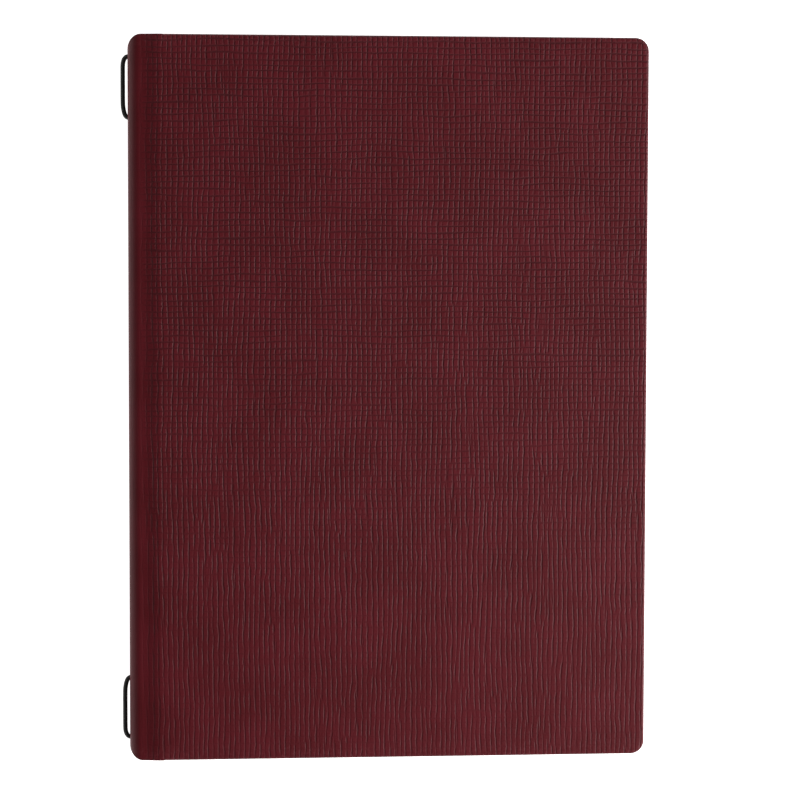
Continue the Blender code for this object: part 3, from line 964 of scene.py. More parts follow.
@dataclass
class CoverSkin:
    """The leatherette over one cover and its half of the spine, folded round the board."""

    case: Case
    half: Half
    material: Material
    spine_steps: int = 3
    fold_steps: int = 14
    shoulder_steps: int = 14
    flat_steps: int = 26
    corner_steps: int = 8
    rows: int = 44
    board_round: float = 1.2 * MM
    hem_round: float = 0.35 * MM
    lip_slant: float = 0.1 * MM
    round_steps: int = 4
    hole_radius: float = 1.6 * MM
    hole_sides: int = 28
    hole_cut: Flat = (-3.0 * MM, 4.0 * MM)
    bend_reach: float = 1.9 * MM

    def stations(self) -> list[Station]:
        """The outer face's section, from the middle of the spine to the fore-edge's corner.

        Returns:
            The stations, in order.
        """
        case = self.case
        places = [(0.0, case.middle + (case.fold_z - case.middle) * i / self.spine_steps)
                  for i in range(self.spine_steps)]
        centre = (case.fold_radius, case.fold_z)
        places += arc_points(centre, case.fold_radius, 180, 270, self.fold_steps)
        length = case.shoulder_end - case.fold_radius
        for i in range(1, self.shoulder_steps + 1):
            g = case.fold_radius + length * i / self.shoulder_steps
            places.append((g, case.shoulder(g)))
        places += [(case.board_start - 0.5 * MM, 0.0), (case.board_start, 0.0)]
        fore = case.width - case.corner
        for i in range(1, self.flat_steps + 1):
            places.append((case.board_start + (fore - case.board_start) * i / self.flat_steps, 0.0))
        reach = case.corner - self.board_round
        for i in range(1, self.corner_steps + 1):
            places.append((fore + reach * math.sin(math.radians(90 * i / self.corner_steps)), 0.0))
        return self.with_directions(places)

    def with_directions(self, places: Sequence[Flat]) -> list[Station]:
        """Adds to each section point its directions and its distance along the skin.

        Args:
            places: the section's points.

        Returns:
            A station for each point.
        """
        made, run = [], 0.0
        for i, at in enumerate(places):
            before, after = places[max(i - 1, 0)], places[min(i + 1, len(places) - 1)]
            way = Vector((after[0] - before[0], after[1] - before[1])).normalized()
            if i:
                run += math.dist(at, before)
            made.append(Station(at, (way.x, way.y), (-way.y, way.x), run))
        return made

    def outline(self, g: float) -> float:
        """Half the skin's height at a distance from the spine's face, before the fore corner.

        Args:
            g: the distance from the spine's face.

        Returns:
            Half the height.
        """
        corner = self.case.corner
        straight = self.case.height / 2 - corner
        inside = max(corner - g, 0.0)
        return straight + math.sqrt(max(corner**2 - inside**2, 0.0))

    def rims(self, stations: list[Station]) -> list[tuple[Flat, Flat]]:
        """For each station, the edge's point as (run, y) and its outward direction there.

        Args:
            stations: the section.

        Returns:
            A point and a direction for each station.
        """
        fore = len(stations) - 1 - self.corner_steps
        corner = self.case.corner
        points = [(s.run, self.outline(s.at[0])) for s in stations[: fore + 1]]
        made = [(points[0], (0.0, 1.0))]
        for i in range(1, fore):
            along = (Vector(points[i + 1]) - Vector(points[i - 1])).normalized()
            made.append((points[i], (-along.y, along.x)))
        made.append((points[fore], (0.0, 1.0)))
        centre = (stations[fore].run, self.case.height / 2 - corner)
        for i in range(1, self.corner_steps + 1):
            turn = math.radians(90 * i / self.corner_steps)
            out = (math.sin(turn), math.cos(turn))
            made.append(((centre[0] + corner * out[0], centre[1] + corner * out[1]), out))
        return made

    def hem(self, boarded: bool) -> list[Flat]:
        """The edge's section as (inset, depth): over the board's edge and turned in beneath it,
        or, beside the spine, a single rounded thickness.

        Args:
            boarded: whether the board lies under this part of the edge.

        Returns:
            The section's points, from the outer face to the inner one.
        """
        case = self.case
        radius = self.board_round if boarded else self.hem_round
        depth = case.cover_thickness if boarded else case.skin
        turns = [math.radians(90 * i / self.round_steps) for i in range(self.round_steps + 1)]
        section = [(radius * (1 - math.sin(a)), radius * (1 - math.cos(a))) for a in turns]
        section += [(inset, depth - below) for inset, below in section[::-1]]
        if not boarded:
            return section + [section[-1]] * 4
        lip, under = case.turn_in_width, case.cover_thickness - case.turn_in
        return section + [(lip - self.lip_slant, depth), (lip, under), (case.skin, under),
                          (case.skin, case.skin)]

    def build(self) -> Piece:
        """The skin as one closed mesh, with its half of the cord holes cut.

        Returns:
            The skin, not yet tied to a body.
        """
        stations = self.stations()
        rims = self.rims(stations)
        name = "front_cover_skin" if self.half is Half.FRONT else "back_cover_skin"
        bm = bmesh.new()
        uv = bm.loops.layers.uv.new("UVMap")
        edge = bm.verts.layers.float.new("edge")
        run = bm.verts.layers.float_vector.new("run")
        rings = self.ring_points(stations, rims)
        outer, inner = [self.grid(bm, stations, rings, ring, run) for ring in (0, -1)]
        self.join_rings(bm, rings, outer, inner, edge, run)
        quads(bm, outer[0], inner[0])
        side = -1 if self.half is Half.BACK else 1
        for face in bm.faces:
            for loop in face.loops:
                at = loop.vert[run]
                loop[uv].uv = (side * at.x, at.y)
        bm.verts.layers.float_vector.remove(run)
        skin = mesh_object(name, bm, self.material)
        skin = cut_out(skin, self.hole_cutter())
        sharpen(skin, 40)
        return skin

    def ring_points(self, stations: list[Station], rims: list) -> list[list[tuple[Point, Flat]]]:
        """For each place round the edge, the points of its hem as (place, (run, y)).

        Args:
            stations: the section.
            rims: what rims gives.

        Returns:
            A list of points for each place, in the order head, fore-edge, tail.
        """
        case = self.case
        chain = [(station, at, out, 1) for station, (at, out) in zip(stations, rims)]
        (fore, top), _ = rims[-1]
        for j in range(1, self.rows):
            chain.append((stations[-1], (fore, top - 2 * top * j / self.rows), (1.0, 0.0), 1))
        chain += [(station, at, out, -1) for station, (at, out) in zip(stations[::-1], rims[::-1])]
        made = []
        window = (case.width - case.turn_in_width, case.height / 2 - case.turn_in_width)
        for station, at, out, side in chain:
            points = []
            for inset, depth in self.hem(station.at[0] >= case.board_start):
                along = at[0] - station.run - inset * out[0]
                y = side * (at[1] - inset * out[1])
                g = station.at[0] + station.onward[0] * along + station.inward[0] * depth
                z = station.at[1] + station.onward[1] * along + station.inward[1] * depth
                if inset > case.turn_in_width / 2:
                    g = min(station.at[0] + along + inset * out[0], window[0])
                    y = math.copysign(min(abs(side * at[1]), window[1]), side * at[1])
                points.append(((g, y, z), (station.run + along, y)))
            made.append(points)
        return made

    def grid(self, bm: BMesh, stations: list[Station], rings: list, ring: int,
             run: Any) -> list[list[Vert]]:
        """The outer or the inner face's vertices and faces, inside the given ring of the hem.

        Args:
            bm: the mesh to add to.
            stations: the section.
            rings: what ring_points gives.
            ring: which ring of the hem bounds the face.
            run: the vertex layer for distances along the skin.

        Returns:
            The vertices by station and row.
        """
        made = []
        last = len(stations) - 1
        for i in range(last + 1):
            (g, top, z), (s, _) = rings[i][ring]
            column = []
            for j in range(self.rows + 1):
                y = top * (2 * j / self.rows - 1)
                if i == last and 0 < j < self.rows:
                    (g, y, z), (s, _) = rings[last + self.rows - j][ring]
                vert = bm.verts.new(self.case.place(g, y, z, self.half))
                vert[run] = (s, y, 0.0)
                column.append(vert)
            made.append(column)
        for first, second in zip(made, made[1:]):
            quads(bm, first, second)
        return made

    def join_rings(self, bm: BMesh, rings: list, outer: list, inner: list, edge: Any,
                   run: Any) -> None:
        """The hem's faces between the two grids, and the closing faces at the spine's middle.

        Args:
            bm: the mesh to add to.
            rings: what ring_points gives.
            outer: the outer face's vertices.
            inner: the inner face's vertices.
            edge: the vertex layer that marks the edge's rubbed part.
            run: the vertex layer for distances along the skin.
        """
        lines = []
        for points, start, end in zip(rings, self.boundary(outer), self.boundary(inner)):
            line = [start]
            for (g, y, z), (s, v) in points[1:-1]:
                vert = bm.verts.new(self.case.place(g, y, z, self.half))
                vert[run] = (s, v, 0.0)
                line.append(vert)
            line.append(end)
            for vert in line[: 2 * self.round_steps + 2]:
                vert[edge] = 1.0
            lines.append(line)
        for first, second in zip(lines, lines[1:]):
            quads(bm, first, second)
        for line in (lines[0], lines[-1]):
            bm.faces.new(line)

    def boundary(self, grid: list[list[Vert]]) -> list[Vert]:
        """A face's vertices along the head, down the fore-edge and back along the tail."""
        fore = grid[-1][self.rows - 1 : 0 : -1]
        return [column[-1] for column in grid] + fore + [column[0] for column in grid[::-1]]

    def hole_cutter(self) -> Piece:
        """Rods through the spine where the elastic passes.

        Returns:
            A helper object.
        """
        bm = bmesh.new()
        radius = self.hole_radius
        turns = [math.tau * (i + 0.5) / self.hole_sides for i in range(self.hole_sides)]
        for y in (self.case.outer_hole, self.case.inner_hole, -self.case.outer_hole,
                  -self.case.inner_hole):
            ring = [(y + radius * math.cos(a), self.case.middle + radius * math.sin(a))
                    for a in turns]
            near, far = [[bm.verts.new((self.case.spine_x + g, a, b)) for a, b in ring]
                         for g in self.hole_cut]
            quads(bm, near, far, closed=True)
            bm.faces.new(near[::-1])
            bm.faces.new(far)
        return mesh_object("hole_cutter", bm, self.material)

    def dress(self) -> Piece:
        """Builds the skin and ties it to the two bodies it joins.

        Returns:
            The skin.
        """
        case = self.case
        skin = self.build()
        g, z = case.hinge
        start = case.place(g - self.bend_reach, 0.0, z + self.bend_reach, self.half)
        end = case.place(g + self.bend_reach, 0.0, z - self.bend_reach, self.half)
        if self.half is Half.FRONT:
            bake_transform(skin, "spine", "front_cover", start=start, end=end)
            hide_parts("front_cover_wrap", "spine_wrap")
        else:
            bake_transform(skin, "back_cover", "spine", start=end, end=start)
            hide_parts("back_cover_wrap", "spine_wrap")
        return skin


@dataclass
class Endpaper:
    """The black paper pasted over the inside of a cover, down its board's edge to the hinge."""

    case: Case
    half: Half
    material: Material
    thickness: float = 0.14 * MM
    inset: float = 12.0 * MM
    hinge_reach: float = 9.0 * MM
    corner: float = 1.5 * MM
    rows: int = 12

    def section(self) -> list[Flat]:
        """The paper's lower face, from the hinge to the fore-edge side.

        Returns:
            The section's points in the back half.
        """
        case = self.case
        points = []
        for i in range(7):
            g = self.hinge_reach + (case.shoulder_end - self.hinge_reach) * i / 6
            points.append((g, case.shoulder(g) + case.skin + 0.02 * MM))
        top, low = case.cover_thickness + 0.01 * MM, case.skin + 0.1 * MM
        board, last = case.board_start, case.width - self.inset
        points += [(board - 0.75 * MM, low), (board - 0.6 * MM, low + 0.4 * MM),
                   (board - 0.15 * MM, top - 0.1 * MM), (board - 0.03 * MM, top)]
        flat = board + 0.6 * MM
        points += [(flat + (last - flat) * i / 8, top) for i in range(9)]
        return points

    def build(self) -> Piece:
        """A closed thin sheet with its fore corners cut round.

        Returns:
            The paper, not yet tied to a body.
        """
        case = self.case
        points = self.section()
        bm = bmesh.new()
        end = case.height / 2 - self.inset
        rows = [end * (2 * j / self.rows - 1) for j in range(self.rows + 1)]
        layers = []
        for lift in (0.0, self.thickness):
            grid = []
            for i, (g, z) in enumerate(points):
                before, after = points[max(i - 1, 0)], points[min(i + 1, len(points) - 1)]
                way = Vector((after[0] - before[0], after[1] - before[1])).normalized()
                shrink = 1 - self.corner / end if i == len(points) - 1 else 1.0
                grid.append([
                    bm.verts.new(case.place(g - way.y * lift, y * shrink, z + way.x * lift,
                                            self.half))
                    for y in rows])
            layers.append(grid)
        low, high = layers
        for grid in layers:
            for first, second in zip(grid, grid[1:]):
                quads(bm, first, second)
        for side in (0, -1):
            quads(bm, [line[side] for line in low], [line[side] for line in high])
            quads(bm, low[side], high[side])
        name = "front_endpaper" if self.half is Half.FRONT else "back_endpaper"
        paper = mesh_object(name, bm, self.material)
        sharpen(paper)
        return paper

    def dress(self) -> Piece:
        """Builds the paper and ties it to its cover.

        Returns:
            The paper.
        """
        paper = self.build()
        cover = "front_cover" if self.half is Half.FRONT else "back_cover"
        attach(paper, cover)
        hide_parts(cover + "_lining")
        return paper


# ---------------------------------------------------------------- the leaves


@dataclass(frozen=True)
class LeafPlan:
    """Sizes that all six pocket leaves share."""

    film: float = 0.25 * MM
    card: float = 0.3 * MM
    film_to_card: float = 0.2 * MM
    pitch: float = 1.45 * MM
    height: float = 297.0 * MM
    width: float = 210.0 * MM
    columns: int = 4
    rows: int = 5
    pockets_g: float = 24.85 * MM
    margin: float = 3.0 * MM
    web_g: float = 6.3 * MM
    fold_film: float = 0.4 * MM
    fold_pitch: float = 0.7 * MM
    mouth_width: float = 16.0 * MM
    mouth_depth: float = 5.0 * MM
    mouth_taper: float = 3.0 * MM
    weld: float = 0.9 * MM
    weld_depth: float = 0.1 * MM
    weld_slope: float = 0.35 * MM
    film_bevel: float = 0.08 * MM
    film_corner: float = 2.0 * MM
    card_corner: float = 2.5 * MM
    card_bevel: float = 0.06 * MM
    joint: float = 0.3 * MM
    side_cuts: int = 8
    leaves: int = 6

    @property
    def cell(self) -> Flat:
        """Width and height of one pocket."""
        wide = self.web_g + self.width - self.pockets_g - 2 * self.margin
        return wide / self.columns, (self.height - 2 * self.margin) / self.rows

    def loop(self, half_width: float, half_height: float, columns: int, rows: int) -> list[Flat]:
        """Points round a rectangle about the origin, as many on each side as its cells give.

        Args:
            half_width: half the rectangle's width.
            half_height: half its height.
            columns: how many cells wide it is.
            rows: how many cells high it is.

        Returns:
            The points, counter-clockwise from the lower right corner.
        """
        across, up = columns * self.side_cuts, rows * self.side_cuts
        points = [(half_width, half_height * (2 * i / up - 1)) for i in range(up)]
        points += [(half_width * (1 - 2 * i / across), half_height) for i in range(across)]
        points += [(-half_width, half_height * (1 - 2 * i / up)) for i in range(up)]
        points += [(half_width * (2 * i / across - 1), -half_height) for i in range(across)]
        return points


@dataclass
class PocketCell:
    """One pocket's film: a weld line round it and a rounded thumb notch at its head."""

    plan: LeafPlan
    upward: int

    def notch(self, grow: float) -> list[Flat]:
        """The notch's outline, grown by a distance, matched point for point with the cell's.

        Args:
            grow: the distance.

        Returns:
            The outline's points.
        """
        plan = self.plan
        wide, high = plan.cell
        centre = high / 2 - plan.margin - plan.mouth_depth / 2
        points = []
        for x, y in plan.loop(1.0, 1.0, 1, 1):
            length = (abs(x) ** 5 + abs(y) ** 5) ** 0.2
            x, y = x / length, y / length
            half = plan.mouth_width / 2 - plan.mouth_taper * (1 - y) / 2 + grow
            points.append((x * half, centre + y * (plan.mouth_depth / 2 + grow)))
        return points

    def build(self) -> Piece:
        """The cell about its own middle; its outer face is at 0 and faces up or down.

        Returns:
            A helper object.
        """
        plan = self.plan
        wide, high = plan.cell[0] / 2, plan.cell[1] / 2
        inner = plan.weld + plan.weld_slope
        rings = [
            (plan.loop(wide, high, 1, 1), -plan.weld_depth, 1.0),
            (plan.loop(wide - plan.weld, high - plan.weld, 1, 1), -plan.weld_depth, 1.0),
            (plan.loop(wide - inner, high - inner, 1, 1), 0.0, 0.15),
            (self.notch(1.2 * MM), 0.0, 0.0),
            (self.notch(0.5 * MM), 0.06 * MM, 0.5),
            (self.notch(0.0), 0.0, 1.0),
            (self.notch(0.0), -plan.film, 1.0),
            (self.notch(0.8 * MM), -plan.film, 0.0),
            (plan.loop(wide - inner, high - inner, 1, 1), -plan.film, 0.15),
            (plan.loop(wide, high, 1, 1), -plan.film, 1.0),
        ]
        return film_mesh("pocket_cell", rings, self.upward)


def film_mesh(name: str, rings: list[Ring], upward: int) -> Piece:
    """Faces through rings of points.

    Args:
        name: the object's name.
        rings: each ring's (x, y) points, height and weld mark.
        upward: 1 or -1, which way the film's outer face looks.

    Returns:
        A helper object; its faces point away from the film.
    """
    bm = bmesh.new()
    weld = bm.verts.layers.float.new("weld")
    lines = []
    for points, height, mark in rings:
        line = [bm.verts.new((x, y, upward * height)) for x, y in points]
        for vert in line:
            vert[weld] = mark
        lines.append(line)
    for first, second in zip(lines, lines[1:]):
        quads(bm, *((first, second) if upward > 0 else (second, first)), closed=True)
    mesh = bpy.data.meshes.new(name)
    bm.to_mesh(mesh)
    bm.free()
    return show(name, mesh)


def pocket_tree(plan: LeafPlan) -> Tree:
    """Geometry Nodes that repeat a pocket cell over a film and join it to the film's border.

    Args:
        plan: the sizes that give the inputs their defaults.

    Returns:
        The tree, with inputs Border, Cell, Columns, Rows, Cell Width, Cell Height, Field Middle
        and Material.
    """
    tree = bpy.data.node_groups.new("pocket_field", "GeometryNodeTree")
    wanted = (
        ("Geometry", "NodeSocketGeometry", None),
        ("Cell", "NodeSocketObject", None),
        ("Columns", "NodeSocketInt", plan.columns),
        ("Rows", "NodeSocketInt", plan.rows),
        ("Cell Width", "NodeSocketFloat", plan.cell[0]),
        ("Cell Height", "NodeSocketFloat", plan.cell[1]),
        ("Field Middle", "NodeSocketVector", None),
        ("Material", "NodeSocketMaterial", None),
    )
    for label, kind, value in wanted:
        socket = tree.interface.new_socket(label, in_out="INPUT", socket_type=kind)
        if value is not None:
            socket.default_value = value
    tree.interface.new_socket("Geometry", in_out="OUTPUT", socket_type="NodeSocketGeometry")
    given = add_node(tree, "NodeGroupInput").outputs
    spans = []
    for count, size in (("Columns", "Cell Width"), ("Rows", "Cell Height")):
        gaps = add_node(tree, "ShaderNodeMath", {0: given[count], 1: 1.0}, operation="SUBTRACT")
        spans.append(
            add_node(tree, "ShaderNodeMath", {0: gaps, 1: given[size]}, operation="MULTIPLY"),
        )
    grid = add_node(tree, "GeometryNodeMeshGrid", {
        "Size X": spans[0], "Size Y": spans[1], "Vertices X": given["Columns"],
        "Vertices Y": given["Rows"]}).outputs[0]
    moved = add_node(tree, "GeometryNodeTransform", {
        "Geometry": grid, "Translation": given["Field Middle"]}).outputs[0]
    cell = add_node(tree, "GeometryNodeObjectInfo", {"Object": given["Cell"]})
    placed = add_node(tree, "GeometryNodeInstanceOnPoints", {
        "Points": moved, "Instance": cell.outputs["Geometry"]}).outputs[0]
    real = add_node(tree, "GeometryNodeRealizeInstances", {0: placed}).outputs[0]
    joined = add_node(tree, "GeometryNodeJoinGeometry")
    tree.links.new(real, joined.inputs[0])
    tree.links.new(given["Geometry"], joined.inputs[0])
    merged = add_node(tree, "GeometryNodeMergeByDistance", {
        "Geometry": joined.outputs[0], "Distance": 4 * MERGE}).outputs[0]
    dressed = add_node(tree, "GeometryNodeSetMaterial", {
        "Geometry": merged, "Material": given["Material"]}).outputs[0]
    add_node(tree, "NodeGroupOutput", {0: dressed})
    return tree


def set_inputs(piece: Piece, tree: Tree, values: dict[str, Any]) -> None:
    """Adds a Geometry Nodes modifier and sets its inputs by their sockets' identifiers.

    Args:
        piece: the object to add the modifier to.
        tree: the modifier's node tree.
        values: each input's value, by its name.
    """
    modifier = piece.modifiers.new(tree.name, "NODES")
    modifier.node_group = tree
    for item in tree.interface.items_tree:
        if item.in_out == "INPUT" and item.name in values:
            modifier[item.identifier] = values[item.name]


@dataclass
class PocketLeaf:
    """One leaf: two pocketed films, and a card between them. The film on the side away from the
    middle of the book runs on round the page fold."""

    case: Case
    plan: LeafPlan
    finishes: Finishes
    tree: Tree
    cells: dict[int, Piece]
    number: int
    hinge: Point
    crease: Flat = (0.6 * MM, 0.8 * MM)
    fold_turn: float = 0.45 * MM
    fold_thickness: float = 0.34 * MM
    fold_taper: Flat = (0.6 * MM, 0.3 * MM)
    root_haze: float = 0.12

    @property
    def half(self) -> Half:
        """The half of the book the leaf lies in."""
        return Half.FRONT if self.number <= self.plan.leaves // 2 else Half.BACK

    @property
    def nest(self) -> int:
        """Which fold it belongs to, 0 being the outermost."""
        return min(self.number - 1, self.plan.leaves - self.number)

    @property
    def plane(self) -> float:
        """Height of the card's middle, for the leaf drawn in the back half."""
        return self.case.middle - (self.plan.leaves / 2 - 0.5 - self.nest) * self.plan.pitch

    @property
    def page_end(self) -> float:
        """Distance of the free edge from the spine's face."""
        return self.plan.web_g + self.nest * self.plan.fold_pitch + self.plan.width

    def border(self, root: bool) -> list[Ring]:
        """The film round its pockets as rings about the field's middle, to the free edges.

        Args:
            root: whether the film has a root.

        Returns:
            The rings, from the pockets' outer face to their inner face.
        """
        plan = self.plan
        wide, high = plan.columns * plan.cell[0] / 2, plan.rows * plan.cell[1] / 2
        slope = plan.weld + plan.weld_slope
        near = [plan.loop(wide + gap, high + gap, plan.columns, plan.rows)
                for gap in (0.0, plan.weld, slope)]
        bevelled, square = self.free_edge(root, plan.film_bevel), self.free_edge(root, 0.0)
        return [
            (near[0], -plan.weld_depth, 1.0),
            (near[1], -plan.weld_depth, 1.0),
            (near[2], 0.0, 0.2),
            (bevelled, 0.0, 0.3),
            (square, -plan.film_bevel, 0.6),
            (square, -plan.film, 0.6),
            (near[0], -plan.film, 1.0),
        ]

    def free_edge(self, root: bool, inset: float) -> list[Flat]:
        """The film's outline, inset on all sides but the one where a root joins it.

        Args:
            root: whether the film has a root.
            inset: the distance.

        Returns:
            The outline's points about the field's middle.
        """
        plan = self.plan
        field_g = plan.pockets_g + plan.margin + plan.columns * plan.cell[0] / 2
        left = field_g - plan.pockets_g - plan.joint - (0.0 if root else inset)
        right, top = self.page_end - field_g - inset, plan.height / 2 - inset
        points = []
        for x, y in plan.loop(1.0, 1.0, plan.columns, plan.rows):
            reach = plan.height / 2 if root and x == -1.0 else top
            points.append((right * x if x > 0 else left * x, reach * y))
        return self.rounded(points, right, top, plan.film_corner)

    def rounded(self, points: list[Flat], right: float, top: float, radius: float) -> list[Flat]:
        """Rounds the two corners at the free edge.

        Args:
            points: the outline.
            right: where the free edge is.
            top: half the outline's height.
            radius: the corners' radius.

        Returns:
            The outline with its corners rounded.
        """
        made = []
        for x, y in points:
            over = Vector((x - (right - radius), abs(y) - (top - radius)))
            if over.x > 0 and over.y > 0 and over.length > radius:
                over = over.normalized() * radius
                x = right - radius + over.x
                y = math.copysign(top - radius + over.y, y)
            made.append((x, y))
        return made

    def film(self, outer: bool) -> Piece:
        """One film of the leaf; the outer one has the root and its half of the page fold.

        Args:
            outer: whether it is the film away from the middle of the book.

        Returns:
            The finished film, not yet tied to a body.
        """
        plan, case = self.plan, self.case
        sign = -1 if self.half is Half.BACK else 1
        upward = sign if outer else -sign
        step = plan.card / 2 + plan.film_to_card + plan.film
        plane = self.plane if self.half is Half.BACK else case.thickness - self.plane
        face_z = plane + upward * step
        wide = plan.columns * plan.cell[0] / 2
        middle = case.place(plan.pockets_g + plan.margin + wide, 0.0, 0.0)
        frame_piece = film_mesh("film_border", self.border(outer), upward)
        frame_piece.data.transform(Matrix.Translation((middle[0], 0.0, face_z)))
        if outer:
            self.add_root(frame_piece, face_z, upward)
        set_inputs(frame_piece, self.tree, {
            "Cell": self.cells[upward],
            "Columns": plan.columns,
            "Rows": plan.rows,
            "Cell Width": plan.cell[0],
            "Cell Height": plan.cell[1],
            "Field Middle": (middle[0], 0.0, face_z),
            "Material": self.finishes.film,
        })
        side = "front" if upward > 0 else "back"
        made = plain_copy(frame_piece, f"leaf_{self.number}_{side}_film")
        turn_outwards(made.data)
        made.data.shade_smooth()
        sharpen(made, 30)
        layer = made.data.uv_layers.new(name="UVMap")
        for loop in made.data.loops:
            layer.data[loop.index].uv = made.data.vertices[loop.vertex_index].co.xy
        return made

    def add_root(self, piece: Piece, face_z: float, upward: int) -> None:
        """Adds the root and half of the page fold to a film's border.

        Args:
            piece: the film's border.
            face_z: height of the film's outer face.
            upward: 1 or -1, which way the film's outer face looks.
        """
        plan, case = self.plan, self.case
        flange_g = self.hinge[0] - case.spine_x
        flange_z = self.hinge[2]
        middle_z = face_z - upward * plan.film / 2
        web = plan.web_g + self.nest * plan.fold_pitch + plan.fold_film / 2
        turn, thick = self.fold_turn, self.fold_thickness
        sign = 1 if flange_z > case.middle else -1
        rise, reach = flange_z - middle_z, flange_g - plan.pockets_g
        points = [(plan.pockets_g + plan.joint, middle_z, plan.film),
                  (plan.pockets_g - 2 * plan.joint, middle_z + rise * 0.02, plan.film)]
        for share in (0.15, 0.3, 0.45, 0.6, 0.75, 0.88):
            ease = share * share * (3 - 2 * share)
            points.append((plan.pockets_g + reach * share, middle_z + rise * ease, plan.film))
        # Close points where the film bends when its leaf turns.
        for share in (0.94, 0.96, 0.98, 1.0, 1.015, 1.03, 1.05, 1.09):
            points.append((plan.pockets_g + reach * share, flange_z, plan.film))
        points.append((web + turn + self.fold_taper[0], flange_z, self.fold_taper[1]))
        for a in (90, 60, 30, 0):
            g = web + turn - turn * math.cos(math.radians(a))
            z = flange_z - sign * (turn - turn * math.sin(math.radians(a)))
            points.append((g, z, thick))
        points.append((web, case.middle, thick))
        bm = bmesh.new()
        bm.from_mesh(piece.data)
        weld = bm.verts.layers.float["weld"]
        rows = [plan.height / 2 * (2 * j / (plan.rows * plan.side_cuts) - 1)
                for j in range(plan.rows * plan.side_cuts + 1)]
        faces = self.root_lines(points, rows)
        self.open_joint(bm, face_z)
        grids = [[[bm.verts.new(p) for p in line] for line in side] for side in faces]
        for grid in grids:
            for line in grid:
                for vert in line:
                    vert[weld] = self.root_haze
            for first, second in zip(grid, grid[1:]):
                quads(bm, first, second)
        low, high = grids
        for side in (0, -1):
            quads(bm, [line[side] for line in low], [line[side] for line in high])
        quads(bm, low[-1], high[-1])
        bm.to_mesh(piece.data)
        bm.free()

    def open_joint(self, bm: BMesh, face_z: float) -> None:
        """Squares the border's edge where the root joins it, and takes its wall away.

        Args:
            bm: the film's border.
            face_z: height of the film's outer face.
        """
        joint_x = self.case.spine_x + self.plan.pockets_g + self.plan.joint
        close = 0.01 * MM
        joint = [v for v in bm.verts if abs(v.co.x - joint_x) < close]
        for vert in joint:
            if abs(vert.co.z - face_z) < self.plan.film / 2:
                vert.co.z = face_z
        bmesh.ops.remove_doubles(bm, verts=joint, dist=MERGE)
        wall = [f for f in bm.faces if all(abs(v.co.x - joint_x) < close for v in f.verts)]
        bmesh.ops.delete(bm, geom=wall, context="FACES")

    def root_lines(self, points: list[Point], rows: list[float]) -> tuple[list[Line], list[Line]]:
        """Both faces of the root, from its middle line's (g, z, thickness) points.

        Args:
            points: the middle line.
            rows: the places up the book at which its faces have points.

        Returns:
            The lines of the two faces.
        """
        sides: tuple[list[Line], list[Line]] = ([], [])
        for i, (g, z, thick) in enumerate(points):
            before, after = points[max(i - 1, 0)], points[min(i + 1, len(points) - 1)]
            way = Vector((after[0] - before[0], after[1] - before[1])).normalized()
            if i == 0:
                way = Vector((-1.0, 0.0))
            for side, lift in zip(sides, (-thick / 2, thick / 2)):
                at = self.case.place(g - way.y * lift, 0.0, z + way.x * lift)
                side.append([(at[0], y, at[2]) for y in rows])
        return sides

    def insert_card(self) -> Piece:
        """The card, with rounded corners and softened edges.

        Returns:
            The card, not yet tied to a body.
        """
        plan, case = self.plan, self.case
        g0, g1 = plan.pockets_g + plan.margin, self.page_end - plan.margin
        top, radius, soft = plan.height / 2 - plan.margin, plan.card_corner, plan.card_bevel
        rings = []
        for inset, depth in ((soft, 0.0), (0.0, soft), (0.0, plan.card - soft), (soft, plan.card)):
            points: list[Flat] = []
            for g, y, turn in ((g1, top, 0), (g0, top, 90), (g0, -top, 180), (g1, -top, 270)):
                centre = (g - math.copysign(radius, g - (g0 + g1) / 2),
                          y - math.copysign(radius, y))
                points += arc_points(centre, radius - inset, turn, turn + 90, 6)
            z = self.plane - plan.card / 2 + depth
            rings.append([case.place(g, y, z, self.half) for g, y in points])
        bm = bmesh.new()
        lines = [[bm.verts.new(p) for p in ring] for ring in rings]
        for first, second in zip(lines, lines[1:]):
            quads(bm, first, second, closed=True)
        bm.faces.new(lines[0][::-1])
        bm.faces.new(lines[-1])
        made = mesh_object(f"leaf_{self.number}_insert", bm, self.finishes.card)
        sharpen(made)
        return made

    def dress(self) -> list[Piece]:
        """Builds the leaf's pieces and ties them to their bodies.

        Returns:
            The outer film, the facing film and the card.
        """
        body = f"leaf_{self.number}"
        outer_side, inner_side = ("front", "back") if self.half is Half.FRONT else ("back", "front")
        fold = ("outer_page_fold", "middle_page_fold", "inner_page_fold")[self.nest]
        carrier, facing, card = self.film(True), self.film(False), self.insert_card()
        x, y, z = self.hinge
        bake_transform(carrier, "spine", body,
                 start=(x - self.crease[0], y, z), end=(x + self.crease[1], y, z))
        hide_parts(f"{body}_{outer_side}_pockets", fold)
        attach(facing, body)
        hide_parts(f"{body}_{inner_side}_pockets")
        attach(card, body)
        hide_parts(f"{body}_card")
        return [carrier, facing, card]


# ---------------------------------------------------------------- the elastic


